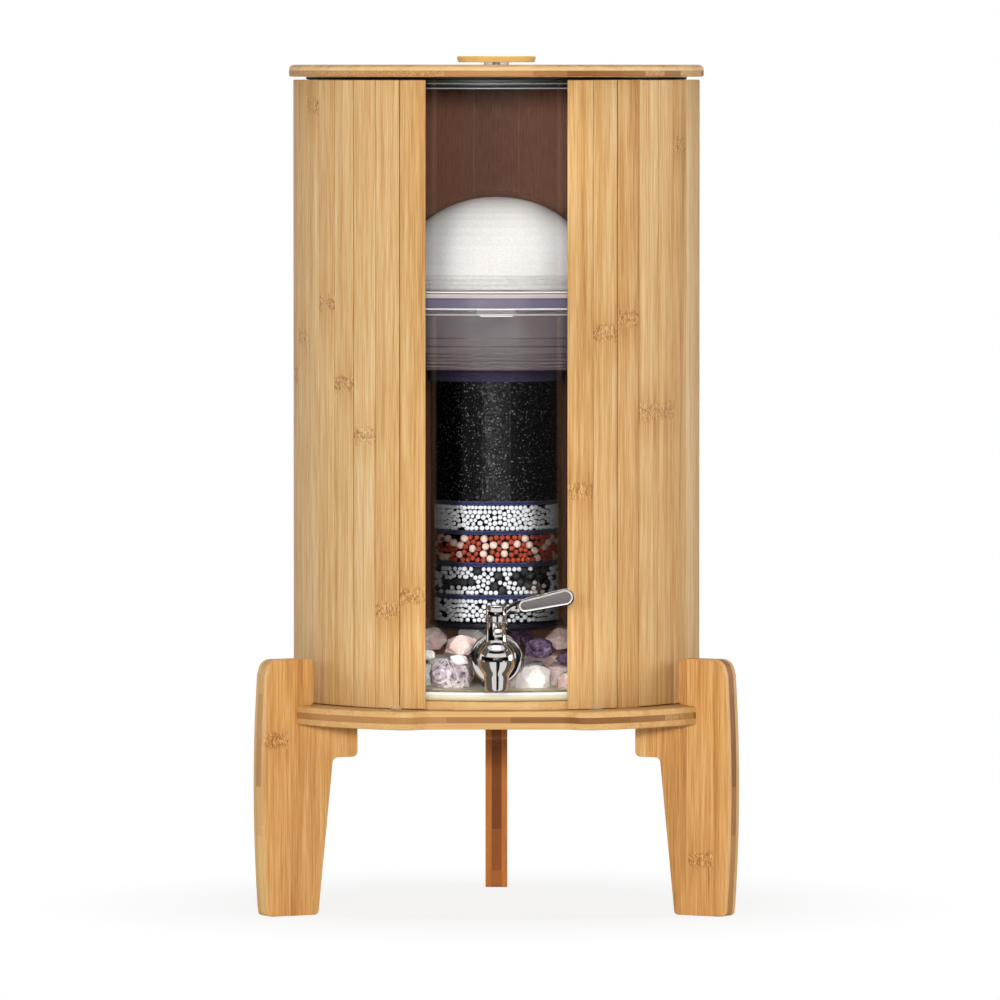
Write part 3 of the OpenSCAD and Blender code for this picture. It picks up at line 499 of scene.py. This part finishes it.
# moulded nitrile rubber: black, with a dull gloss
BLACK_RUBBER = plain("black_nitrile_rubber", "#060606", "#0D0D0D", 600, {"Specular IOR Level": 0.4}, (0.28, 0.4),
                     0.05)
# brushed stainless steel: pale, with no sharp reflection
LEDGE_STEEL = plain("brushed_steel_ledge", "#E6DFDA", "#F6F1EE", 900, {"Metallic": 1.0}, (0.4, 0.55), 0.1)
# moulded white silicone rubber: milky and dull
WHITE_RUBBER = plain("white_silicone_rubber", "#D8D8DA", "#E6E6E8", 500, {}, (0.5, 0.6), 0.08)
# brushed grey inlay: a faint metal shine
GRIP = plain("grey_brushed_inlay", "#544E4C", "#6A6462", 1400, {"Metallic": 0.35}, (0.42, 0.55), 0.25)
# fired ceramic without a glaze: chalky and matt
CERAMIC = plain("unglazed_ceramic", "#E0DCD8", "#EAE7E4", 700, {"Specular IOR Level": 0.3}, (0.75, 0.9), 0.15)
# moulded polypropylene: waxy, with a soft gloss
WHITE_PLASTIC = plain("moulded_white_polypropylene", "#D2D0CC", "#DCDAD6", 300, {}, (0.38, 0.46), 0.04)
GREY_PLASTIC = plain("natural_polypropylene", "#5B5658", "#686265", 300, {}, (0.4, 0.5), 0.04)
# moulded ABS: half gloss
BLACK_PLASTIC = plain("moulded_black_abs", "#0F0F14", "#1A1A22", 500, {}, (0.4, 0.5), 0.08)
# needled felt: fuzzy and matt
FELT = plain("blue_needled_felt", "#0E1334", "#222D6C", 2200, {"Specular IOR Level": 0.1, "Sheen Weight": 0.4},
             (0.9, 1.0), 0.9, 0.0006)
# broken coconut-shell carbon: black, with pale painted glints on the outward faces of some grains
CARBON = plain("activated_carbon", "#020202", "#070708", 1500, {"Specular IOR Level": 0.4}, (0.12, 0.25), 0.3)
CARBON_PAINTED_GLINT = plain("painted_carbon_glint", "#060607", "#D8D8DA", 1900, {"Specular IOR Level": 0.6}, (0.15, 0.3),
                     0.2)
# fired ceramic beads: dusty and nearly matt; the depths between them are painted shade, in black
WHITE_BEAD = plain("white_ceramic_bead", "#EDEDEC", "#F8F8F7", 1600, {}, (0.5, 0.7), 0.2)
RED_BEAD = plain("red_ceramic_bead", "#A03522", "#C4512F", 1600, {}, (0.5, 0.7), 0.3)
CREAM_BEAD = plain("pink_ceramic_bead", "#EDC3AC", "#F6D9C8", 1600, {}, (0.5, 0.7), 0.3)
DARK_BEAD = plain("dark_ceramic_bead", "#242526", "#3C3D3E", 1600, {}, (0.5, 0.7), 0.3)
SHADE = plain("shaded_bead_depths", "#050505", "#0C0C0C", 400, {"Specular IOR Level": 0.1}, (0.9, 1.0))
# raw stones: waxy pink, violet crystals from dark to pale, and milk white
QUARTZ_IOR = 1.54
ROSE_QUARTZ = stone_finish("rose_quartz", "#CDA59F", "#F0D8D1", "#FAF1ED", {
    "Roughness": 0.25, "Subsurface Weight": 0.35, "Subsurface Radius": (0.006, 0.004, 0.004),
    "IOR": QUARTZ_IOR}, 60.0)
DARK_AMETHYST = stone_finish("dark_amethyst", "#281B2D", "#5C4662", "#93809A", {
    "Roughness": 0.2, "IOR": QUARTZ_IOR}, 140.0, 0.02, 0.35)
PALE_AMETHYST = stone_finish("pale_amethyst", "#6A5867", "#C2B2B6", "#FBF5F3", {
    "Roughness": 0.22, "IOR": QUARTZ_IOR}, 60.0, 0.055, 0.4)
MILKY_QUARTZ = stone_finish("milky_quartz", "#F2E7E0", "#FDF7F3", "#FFFDFB", {
    "Roughness": 0.35, "Subsurface Weight": 0.35, "Subsurface Radius": (0.006, 0.006, 0.006),
    "IOR": QUARTZ_IOR}, 60.0)


# ---- Cover ----

# Knuckles that show at the front: slat number and height, as a slat carries one every 0.3 m or so
FRONT_KNUCKLES = {34: 0.572, 35: 0.433, 36: 0.377, 37: 0.3405, 38: 0.218, 39: 0.229, 0: 0.3025, 1: 0.413,
                  2: 0.4235, 3: 0.3566, 4: 0.357, 5: 0.5438}
# Tones of the slats that show at the front, from dark to pale
FRONT_TONES = {34: 1.0, 35: 0.8, 36: 0.8, 37: 0.95, 38: 0.68, 39: 0.4, 0: 0.5, 1: 0.8, 2: 0.32, 3: 0.64, 4: 0.6,
               5: 0.4, 6: 1.0, 7: 0.6}


def slat_section(half_out, half_in, inset):
    """Cross-section of a slat as (across, radius), its outer edges rounded over by 0.6 mm."""
    r = 0.0006
    outer = COVER_R - inset
    arc = [(math.cos(a), math.sin(a)) for a in (0.0, math.pi / 6, math.pi / 3, math.pi / 2)]
    right = [(half_out - r + r * c, outer - r + r * s) for c, s in arc]
    left = [(-x, y) for x, y in reversed(right)]
    return [(half_in, COVER_R - SLAT_T)] + right + left + [(-half_in, COVER_R - SLAT_T)]


def slats():
    """Forty slats with small differences in width, place and lean."""
    points, faces, across, tones, knuckles, depths = [], [], [], [], [], []
    # the ends are rounded over by this much
    end = 0.0004
    levels = [0.0, end] + [COVER_H * i / 8 for i in range(1, 8)] + [COVER_H - end, COVER_H]
    for i in range(SLAT_COUNT):
        outward, sideways = outward_and_sideways(WINDOW_HALF + (i + 0.5) * SLAT_PITCH)
        half_out = COVER_R * math.tan(SLAT_PITCH / 2) - SLAT_GAP / 2 - random.uniform(0, 0.00022)
        half_in = (COVER_R - SLAT_T) * math.tan(SLAT_PITCH / 2) - SLAT_GAP / 2 - SLAT_TAPER - 0.0001
        section = slat_section(half_out, half_in, random.uniform(0, 0.0003))
        shift, lean, bow = (random.uniform(-0.00012, 0.00012) for _ in range(3))
        low = random.uniform(0.0002, 0.0007)
        tone = FRONT_TONES.get(i, random.uniform(0.25, 1.0))
        knuckle = FRONT_KNUCKLES.get(i, PLATE_TOP + random.uniform(0.03, 0.9) * COVER_H)
        # one in three has no knuckle, which then lies far above it
        if i not in FRONT_KNUCKLES and random.random() < 0.35:
            knuckle = 2.0
        first = len(points)
        for k, level in enumerate(levels):
            at_end = k in (0, len(levels) - 1)
            z = PLATE_TOP + max(level, low if k == 0 else low + end if k == 1 else 0)
            s = level / COVER_H * 2 - 1
            for x, r in section:
                if at_end:
                    x *= 0.97
                    r = min(r, COVER_R - 0.0007)
                x += shift + lean * s + bow * (1 - s * s)
                points.append(outward * r + sideways * x + Vector((0, 0, z)))
                across.append((x + 0.05 * i, z))
                tones.append(tone)
                knuckles.append(z - knuckle)
                depths.append(r)
        faces += wall_faces(first, len(section), len(levels) - 1)
    piece = solid("slats", points, faces, [SLAT_BAMBOO], sharp=50)
    mesh = piece.data
    layer = mesh.uv_layers.new(name="slat")
    for loop in mesh.loops:
        layer.data[loop.index].uv = across[loop.vertex_index]
    for name, values in (("tone", tones), ("knuckle", knuckles), ("depth", depths)):
        mesh.attributes.new(name, "FLOAT", "POINT").data.foreach_set("value", values)
    replace(piece, "cover", "bamboo_slat", "slat_cover")


def lining():
    """The cotton that the slats are glued to, flat behind each slat and slack between the glue lines."""
    # its outer face lies just inside the slats, and it ends 2 mm short of theirs
    flat_out, thick, short = 0.13998, 0.0009, 0.002
    low, high = PLATE_TOP + short, COVER_H - 2 * short
    across, up = 6, 24
    side = flat_out * math.tan(SLAT_PITCH / 2)
    columns = []
    for i in range(SLAT_COUNT):
        middle = WINDOW_HALF + (i + 0.5) * SLAT_PITCH
        for j in range(across + (i == SLAT_COUNT - 1)):
            # the cloth stops short of the window
            x = max(2 * j / across * side - side, LINING_INSET - side if i == 0 else -side)
            x = min(x, side - LINING_INSET if i == SLAT_COUNT - 1 else side)
            columns.append((middle, x, i * 2 * side + x + side))
    points, uvs, faces = [], [], []
    for back in (0, 1):
        for middle, x, run in columns:
            outward, sideways = outward_and_sideways(middle)
            for k in range(up + 1):
                z = low + high * k / up
                slack = 0.0002 * noise.noise(Vector((run * 110, z * 30, 0))) - 0.0002 if back else 0.0
                points.append(outward * (flat_out - thick * back + slack) + sideways * x + Vector((0, 0, z)))
                uvs.append((run, z))
    # from a point of the outer side, rows leads to the next column and d to the point behind it
    rows, last = up + 1, len(columns) - 1
    d = len(columns) * rows
    for c in range(last):
        for k in range(up):
            a, b = c * rows + k, (c + 1) * rows + k
            faces += [(a, b, b + 1, a + 1), (a + d, a + d + 1, b + d + 1, b + d)]
    for c in range(last):
        for k in (0, up):
            a, b = c * rows + k, (c + 1) * rows + k
            faces.append((a, a + d, b + d, b) if k == 0 else (a, b, b + d, a + d))
    for c in (0, last):
        for k in range(up):
            a = c * rows + k
            faces.append((a, a + 1, a + 1 + d, a + d) if c == 0 else (a, a + d, a + 1 + d, a + 1))
    piece = solid("lining", points, faces, [COTTON], sharp=60)
    layer = piece.data.uv_layers.new(name="cloth")
    for loop in piece.data.loops:
        layer.data[loop.index].uv = uvs[loop.vertex_index]
    replace(piece, "cover", "brown_fabric", "cover_backing")


# ---- Stones ----

def icosphere(level):
    """Directions and faces of a fine round mesh."""
    work = bmesh.new()
    bmesh.ops.create_icosphere(work, subdivisions=level, radius=1.0)
    work.verts.ensure_lookup_table()
    directions = np.array([v.co for v in work.verts])
    faces = [tuple(v.index for v in f.verts) for f in work.faces]
    work.free()
    return directions, faces


def islands(node):
    """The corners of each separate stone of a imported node."""
    work = bmesh.new()
    work.from_mesh(NODES[node].data)
    bmesh.ops.remove_doubles(work, verts=work.verts, dist=1e-6)
    left = set(work.verts)
    found = []
    while left:
        group, edge = set(), [left.pop()]
        while edge:
            vert = edge.pop()
            group.add(vert)
            near = {e.other_vert(vert) for e in vert.link_edges} - group
            edge += [v for v in near if v in left]
            left -= near
        found.append(np.array([v.co for v in group]))
    work.free()
    return sorted(found, key=lambda stone: tuple(stone.mean(0)))


def flat_sides(block, centre):
    """Normals and distances of the flat sides of a packed stone."""
    work = bmesh.new()
    for corner in block:
        work.verts.new(corner - centre)
    bmesh.ops.convex_hull(work, input=work.verts)
    sides = [(tuple(face.normal), face.normal.dot(face.verts[0].co)) for face in work.faces]
    work.free()
    normals, away = np.array([n for n, _ in sides]), np.array([d for _, d in sides])
    return np.where(away[:, None] < 0, -normals, normals), np.abs(away)


def stones(node, breaks, crystals, materials, slot):
    """Raw stones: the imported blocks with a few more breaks, and set with crystal points where they have them.

    The stones that lie on others take the second material."""
    directions, template = icosphere(5)
    points, faces, kinds = [], [], []
    for number, block in enumerate(islands(node)):
        centre = (block.max(0) + block.min(0)) / 2
        normals, away = flat_sides(block, centre)
        fresh = rng.normal(size=(breaks, 3))
        fresh[:, 2] = np.abs(fresh[:, 2])
        fresh /= np.linalg.norm(fresh, axis=1)[:, None]
        normals = np.vstack([normals, fresh])
        away = np.append(away, ((block - centre) @ fresh.T).max(0) * rng.uniform(0.82, 0.93, breaks))
        reach = (away / np.maximum(directions @ normals.T, 0.02)).min(1)
        for k, d in enumerate(directions):
            seat = Vector(d) * (crystals or 3.0) + Vector((number * 3.1, 0, 0))
            if crystals:
                near = noise.voronoi(seat)[0]
                reach[k] *= 1.0 - 0.12 * min((near[1] - near[0]) * 0.6 + near[0] * 0.8, 1.0)
            else:
                reach[k] *= 1.0 - 0.025 * (1 + noise.fractal(seat, 1.0, 2.0, 4))
        faces += [tuple(len(points) + v for v in f) for f in template]
        kinds += [min(int(centre[2] > LOFTY), len(materials) - 1)] * len(template)
        points += list(directions * reach[:, None] + centre)
    piece = solid(node + "_raw", points, faces, materials, kinds, sharp=28 if crystals else 22)
    replace(piece, "stand", slot, node)


# ---- Cartridge filling ----

def packed_circles(width, height, kinds, fill):
    """Places of discs that press against each other in a strip that closes on itself.

    kinds are (diameter, share of the area). Gives the places and the kind of each."""
    area = width * height * fill
    which = np.concatenate([np.full(max(1, int(area * share / (math.pi * d * d / 4))), k)
                            for k, (d, share) in enumerate(kinds)])
    rng.shuffle(which)
    radius = np.array([d / 2 for d, _ in kinds])[which]
    place = rng.uniform((0, 0), (width, height), (len(which), 2))
    reach = 3 * radius.max()
    # they settle in 120 pushes, and which of them are near each other is found anew every 12
    for push_count in range(120):
        if push_count % 12 == 0:
            gap = place[:, None] - place[None]
            gap[..., 0] -= width * np.round(gap[..., 0] / width)
            a, b = np.nonzero(np.triu((gap ** 2).sum(2) < reach ** 2, 1))
        gap = place[a] - place[b]
        gap[:, 0] -= width * np.round(gap[:, 0] / width)
        far = np.linalg.norm(gap, axis=1) + 1e-9
        push = gap * (0.42 * np.maximum(radius[a] + radius[b] - far, 0) / far)[:, None]
        np.add.at(place, a, push)
        np.subtract.at(place, b, push)
        place[:, 1] = np.clip(place[:, 1], radius, height - radius)
    return place, which


def beads(node, slot, kinds, materials, fill):
    """A layer of beads against the tube, over a dark middle of painted shade. Each kind of bead has its material.
    """
    low, high = (corner.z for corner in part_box(node))
    low, high = low + FELT_SWELL + 0.0001, high - FELT_SWELL - 0.0001
    ball, template = icosphere(2)
    points, faces, kind_of = [], [], []
    widest = max(d for d, _ in kinds)
    width = 2 * math.pi * (MEDIA_R - widest / 2)
    place, which = packed_circles(width, high - low, kinds, fill)
    for (x, z), k in zip(place, which):
        d = kinds[k][0]
        turn = 2 * math.pi * x / width
        r = MEDIA_R - 0.0001 - d / 2 - abs(rng.normal(0, 0.0002))
        centre = np.array(round_place(turn, r, low + z))
        faces += [tuple(len(points) + v for v in f) for f in template]
        kind_of += [k] * len(template)
        points += list(ball * (d / 2 * rng.uniform(0.88, 0.95)) + centre)
    r = MEDIA_R - 0.75 * widest
    round_wall(points, faces, [(low, r), (high, r)], 64)
    # the dark middle, painted shade, has the last of the materials
    kind_of += [len(materials) - 1] * (len(faces) - len(kind_of))
    replace(solid(node + "_balls", points, faces, materials, kind_of, sharp=60), "cartridge", slot, node)


def carbon():
    """Broken coconut-shell carbon: flat-faced grains of 0.8 to 1.5 mm against the tube."""
    low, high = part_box("carbon_bed")
    grain = np.array([(1, 0, 0), (-1, 0, 0), (0, 1, 0), (0, -1, 0), (0, 0, 1), (0, 0, -1)], float)
    grain_faces = [(0, 2, 4), (2, 1, 4), (1, 3, 4), (3, 0, 4), (2, 0, 5), (1, 2, 5), (3, 1, 5), (0, 3, 5)]
    points, faces, kinds = [], [], []
    for _ in range(13000):
        size = rng.uniform(0.0004, 0.00075)
        turn = rng.uniform(0, 2 * math.pi)
        r = MEDIA_R - size - rng.uniform(0, 0.0012)
        spin = np.array(Matrix.Rotation(rng.uniform(0, 6.28), 3, Vector(rng.normal(size=3)).normalized()))
        shape = (grain * rng.uniform(0.55, 1.0, (6, 1)) * size) @ spin
        # the larger grains, about one in three, have a painted glint on the face that is turned outwards
        out = [np.cross(shape[f[1]] - shape[f[0]], shape[f[2]] - shape[f[0]]) @ round_place(turn, 1, 0)
               for f in grain_faces]
        fresh = np.argmax(out) if size > 0.00062 else None
        kinds += [int(k == fresh) for k in range(len(grain_faces))]
        centre = round_place(turn, r, rng.uniform(low.z + 0.0008, high.z - 0.0008))
        faces += [tuple(len(points) + v for v in f) for f in grain_faces]
        points += list(shape + np.array(centre))
    # the grains lie on a rough wall of the same carbon
    rows = 90
    levels = [low.z + (high.z - low.z) * k / rows for k in range(rows + 1)]
    round_wall(points, faces, [(z, MEDIA_R - 0.0009) for z in levels], 180, rough=0.0004)
    kinds += [0] * (len(faces) - len(kinds))
    piece = solid("carbon_grains", points, faces, [CARBON, CARBON_PAINTED_GLINT], kinds, sharp=10)
    replace(piece, "cartridge", "carbon", "carbon_bed")


def pads():
    """Felt discs between the layers, their rims a little ragged."""
    levels = sorted({round(v.co.z, 6) for v in NODES["cartridge_pads"].data.vertices})
    levels = [z + FELT_SWELL * (1 if k % 2 else -1) for k, z in enumerate(levels)]
    points, faces = [], []
    # share of the height, and how far the rim is set in there
    profile = ((0.0, 0.0006), (0.3, 0.0), (0.7, 0.0), (1.0, 0.0006))
    for low, high in zip(levels[::2], levels[1::2]):
        rows = [(low + (high - low) * share, MEDIA_R - 0.00005 - cut) for share, cut in profile]
        round_wall(points, faces, rows, 160, rough=0.0002)
    piece = replace(solid("felt_pads", points, faces, [FELT], sharp=60), "cartridge", "blue_pad", "cartridge_pads")


def dome_base():
    """The dome's white base, with its threaded stem in natural plastic."""
    piece = softened("dome_base", 0.0003, [WHITE_PLASTIC, GREY_PLASTIC], "upper", "white_plastic")
    for face in piece.data.polygons:
        face.material_index = int(face.center.z < 0.4384)


def lever_arm():
    """The polished lever, with a brushed ledge round its inlay."""
    piece = softened("lever_arm", 0.0005, [STEEL, LEDGE_STEEL], "lever", "polished_steel")
    for face in piece.data.polygons:
        face.material_index = int(face.normal.y < -0.9 and abs(face.center.y - LEDGE_Y) < 0.0001)


# ---- Put together ----

softened("base_plate", 0.0011, [PLATE_BAMBOO], "stand", "bamboo_plate")
softened("locating_disc", 0.0006, [DISC_BAMBOO], "stand", "bamboo_plate")
for leg, made in LEG_BAMBOO.items():
    softened(leg, 0.0013, [made], "stand", "bamboo_leg")
slats()
lining()
softened("tap_body", 0, [STEEL], "stand", "polished_steel")
softened("tap_flange", 0, [STEEL], "stand", "polished_steel")
softened("tap_cap", 0, [STEEL], "lever", "polished_steel")
lever_arm()
inlay = softened("lever_inset", 0.0006, [GRIP, LEDGE_STEEL], "lever", "lever_grip")
inlay.modifiers["rounding"].material = 1
dome_base()
carbon()
pads()
WHITES = [(0.0032, 0.35), (0.0036, 0.40), (0.0039, 0.25)]
for node in ("beads_white_upper", "beads_white_lower"):
    beads(node, "white_beads", WHITES, [WHITE_BEAD, WHITE_BEAD, WHITE_BEAD, SHADE], 0.74)
beads("beads_red", "red_beads", [(0.0040, 0.56), (0.0060, 0.44)], [RED_BEAD, CREAM_BEAD, SHADE], 0.76)
beads("beads_mixed", "mixed_beads", [(0.0035, 0.60), (0.0062, 0.40)], [WHITE_BEAD, DARK_BEAD, SHADE], 0.76)
stones("stones_rose_quartz", 5, 0, [ROSE_QUARTZ], "rose_quartz")
stones("stones_amethyst", 5, 8.0, [PALE_AMETHYST, DARK_AMETHYST], "amethyst")
stones("stones_clear_quartz", 5, 0, [MILKY_QUARTZ], "clear_quartz")
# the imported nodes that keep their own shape
WORN = {
    "lid_board": LID_BAMBOO, "lid_knob": KNOB_BAMBOO, "cover_bumpers": SILICONE, "knob_washer": SILICONE,
    "lower_tank": LOWER_PLASTIC, "upper_tank": UPPER_PLASTIC, "stacking_ring": RING_PLASTIC,
    "cartridge_body": TUBE_PLASTIC, "cartridge_cap": CAP_PLASTIC, "cartridge_base": BLACK_PLASTIC,
    "tap_nut": SATIN_STEEL, "valve_plug": SATIN_STEEL, "knob_screw": SATIN_STEEL,
    "tap_outer_seal": BLACK_RUBBER, "lid_ring": BLACK_RUBBER, "tap_inner_seal": WHITE_RUBBER,
    "dome_washer": WHITE_RUBBER, "neck_gasket": WHITE_RUBBER, "ceramic_dome": CERAMIC, "stem_nut": GREY_PLASTIC}
for node, made in WORN.items():
    NODES[node].data.materials.clear()
    NODES[node].data.materials.append(made)


# ---- Stage, light and camera ----

# strength of the light that falls from all round
AMBIENT = 0.07
FLOOR_HALF = 9
# the cards stand this far from the axis
CARD_R = 1.6
# the lamps through the sight window stand at this depth and point at the middle of the tanks
LAMP_Y = -3.9
WINDOW_AIM = (0, 0, 0.36)


def seen_directly(tree):
    """1 for rays from the camera, from mirrors and through clear pieces, and 0 for the light that falls."""
    path = add(tree, "LightPath", out=None)
    seen = add(tree, "Math", "MAXIMUM", (path["Is Camera Ray"], path["Is Glossy Ray"]))
    seen = add(tree, "Math", "MAXIMUM", (seen, path["Is Transmission Ray"]))
    # the light that falls through the clear tanks isn't seen directly either
    return add(tree, "Math", "MULTIPLY", (seen, add(tree, "Math", "LESS_THAN", (path["Diffuse Depth"], 0.5))))


def stage():
    """A pale paper floor that keeps a soft shadow near the feet and turns to plain white away from them."""
    mesh = bpy.data.meshes.new("floor")
    h = FLOOR_HALF
    mesh.from_pydata([(-h, -h, 0), (h, -h, 0), (h, h, 0), (-h, h, 0)], [], [(0, 1, 2, 3)])
    floor = put("floor", mesh)
    made, tree, surface = new_material("white_paper", {
        "Base Color": "#F6F6F6", "Roughness": 1.0, "Specular IOR Level": 0.0})
    glow = add(tree, "Emission", links={"Color": "#FFFFFF", "Strength": 1.0})
    away = add(tree, "VectorMath", "LENGTH", (add(tree, "TexCoord", out="Object"),), out="Value")
    share = add(tree, "MapRange", SMOOTH, (away, 0.15, 0.36, 0.85, 1.0))
    share = add(tree, "Math", "MULTIPLY", (seen_directly(tree), share))
    mixed = add(tree, "MixShader", links=(share, surface.outputs[0], glow))
    join(tree, tree.nodes["Material Output"], {"Surface": mixed})
    mesh.materials.append(made)
    world = bpy.data.worlds.new("studio")
    world.use_nodes = True
    tree = world.node_tree
    tree.nodes.clear()
    falling = add(tree, "Background", links={"Color": "#FFFFFF", "Strength": AMBIENT})
    seen = add(tree, "Background", links={"Color": "#FFFFFF", "Strength": 1.0})
    mixed = add(tree, "MixShader", links=(seen_directly(tree), falling, seen))
    add(tree, "OutputWorld", links={"Surface": mixed}, out=None)
    bpy.context.scene.world = world


def card(name, start, end, shade, low=0.165, high=0.6, flat=False):
    """A card in front of the object that only shows in what is glossy, and lights nothing.

    start and end are its ends in degrees, from the front towards +X. A flat one lies on the floor round the tap,
    from 0.05 to 1.55 m away from it."""
    steps, points = 8, []
    for i in range(steps + 1):
        turn = math.radians(start + (end - start) * i / steps)
        if flat:
            points += [(k * math.sin(turn), TAP_Y - k * math.cos(turn), 0.001) for k in (0.05, 1.55)]
        else:
            points += [round_place(turn, CARD_R, z) for z in (low, high)]
    faces = [(2 * i, 2 * i + 2, 2 * i + 3, 2 * i + 1) for i in range(steps)]
    made = new_material(name + "_paint", {
        "Base Color": "#000000", "Roughness": 1.0, "Specular IOR Level": 0.0, "Emission Color": shade,
        "Emission Strength": 1.0})[0]
    piece = solid(name, points, faces, [made])
    piece.visible_camera = piece.visible_diffuse = piece.visible_shadow = False


def lamp(name, kind, place, aim, power, mirrored):
    """A lamp that points at a place on the object."""
    data = bpy.data.lights.new(name, kind)
    data.energy = power
    made = put(name, data)
    # what is behind the clear walls is lit through them once, and the walls don't show the lamp again
    made.visible_transmission = False
    made.visible_glossy = mirrored
    made.location = place
    made.rotation_euler = (Vector(aim) - Vector(place)).to_track_quat("-Z", "Y").to_euler()
    return made


def softbox(name, place, aim, size, power, mirrored=True):
    """A soft lamp of this width and height."""
    data = lamp(name, "AREA", place, aim, power, mirrored).data
    data.shape = "RECTANGLE"
    data.size, data.size_y = size


def snoot(name, place, aim, reach, power):
    """A lamp behind a snoot: it lights an oval, of this half width and half height where it is aimed."""
    made = lamp(name, "SPOT", place, aim, power, False)
    made.scale = (reach[0] / reach[1], 1, 1)
    made.data.spot_size = 2 * math.atan(reach[1] / (Vector(aim) - Vector(place)).length)
    made.data.spot_blend = 0.5
    made.data.shadow_soft_size = 0.03


stage()
# what the clear walls mirror
card("card_left", -104, -20, "#0A0A0A")
card("card_middle", -20, 35, "#3C3A39")
card("card_right", 35, 74, "#080808")
# what the tap's cap and neck mirror
card("low_card_far_left", -135, -82, "#8A7565", 0.0, 0.165)
card("low_card_left", -74, -38, "#3A3634", 0.0, 0.165)
card("low_card_middle", -38, 37, "#1E1C1C", 0.0, 0.165)
card("low_card_right", 48, 145, "#7A6C62", 0.0, 0.165)
# what its bulb mirrors
card("brow_card", -60, 60, "#2B2927", 1.2, 1.95)
card("side_card_left", -150, -62, "#6A665F", 0.62, 2.0)
card("side_card_right", 62, 150, "#6A665F", 0.62, 2.0)
# what its spout mirrors
card("floor_card_left", -140, -44, "#6A665F", flat=True)
card("floor_card_middle", -1, 22, "#20262E", flat=True)
card("floor_card_right", 69, 140, "#6A665F", flat=True)
softbox("overhead", (0, -0.4, 3.2), (0, 0, 0.3), (2.4, 2.4), 36)
softbox("side_left", (-3.5, 0.5, 1.0), (0, 0, 0.33), (1.2, 1.8), 35)
softbox("side_right", (3.5, 0.5, 1.0), (0, 0, 0.33), (1.2, 1.8), 52)
# lamps through the sight window; the upper ones also show in what is glossy
for side in (-1, 0, 1):
    softbox("window_upper_%d" % side, (0.82 * side, LAMP_Y, 0.77), WINDOW_AIM, (0.5, 0.24), 18)
softbox("window_lower_left", (-0.82, LAMP_Y, 0.64), WINDOW_AIM, (0.5, 0.24), 22, mirrored=False)
# a narrow one is the only light that passes between the slats and the cartridge to the lining
softbox("window_lower_middle", (0, LAMP_Y, 0.64), WINDOW_AIM, (0.08, 0.24), 41, mirrored=False)
snoot("cartridge_light", (0, LAMP_Y, 0.45), (0, -0.1, 0.285), (0.075, 0.14), 130)
snoot("stone_light", (0, LAMP_Y, 0.42), (0, -0.1, 0.187), (0.11, 0.04), 145)
# the dome is lit from above, under the lid's edge
snoot("dome_light", (0, -3.4, 2.05), (0, -0.03, 0.497), (0.048, 0.03), 240)
snoot("dome_light_right", (-1.0, -3.4, 2.05), (0.058, -0.03, 0.48), (0.045, 0.035), 268)

# a long lens 7 m in front, a little above the top, that looks slightly down
view = bpy.data.cameras.new("camera")
view.lens = 353.3
view.sensor_width = 36
view.shift_x = 0.0036
view.clip_end = 60
camera = put("camera", view)
camera.location = (0, -7.01, 0.5995)
camera.rotation_euler = (math.radians(90 - 2.526), 0, 0)
bpy.context.scene.camera = camera
bpy.context.scene.view_settings.view_transform = "Standard"
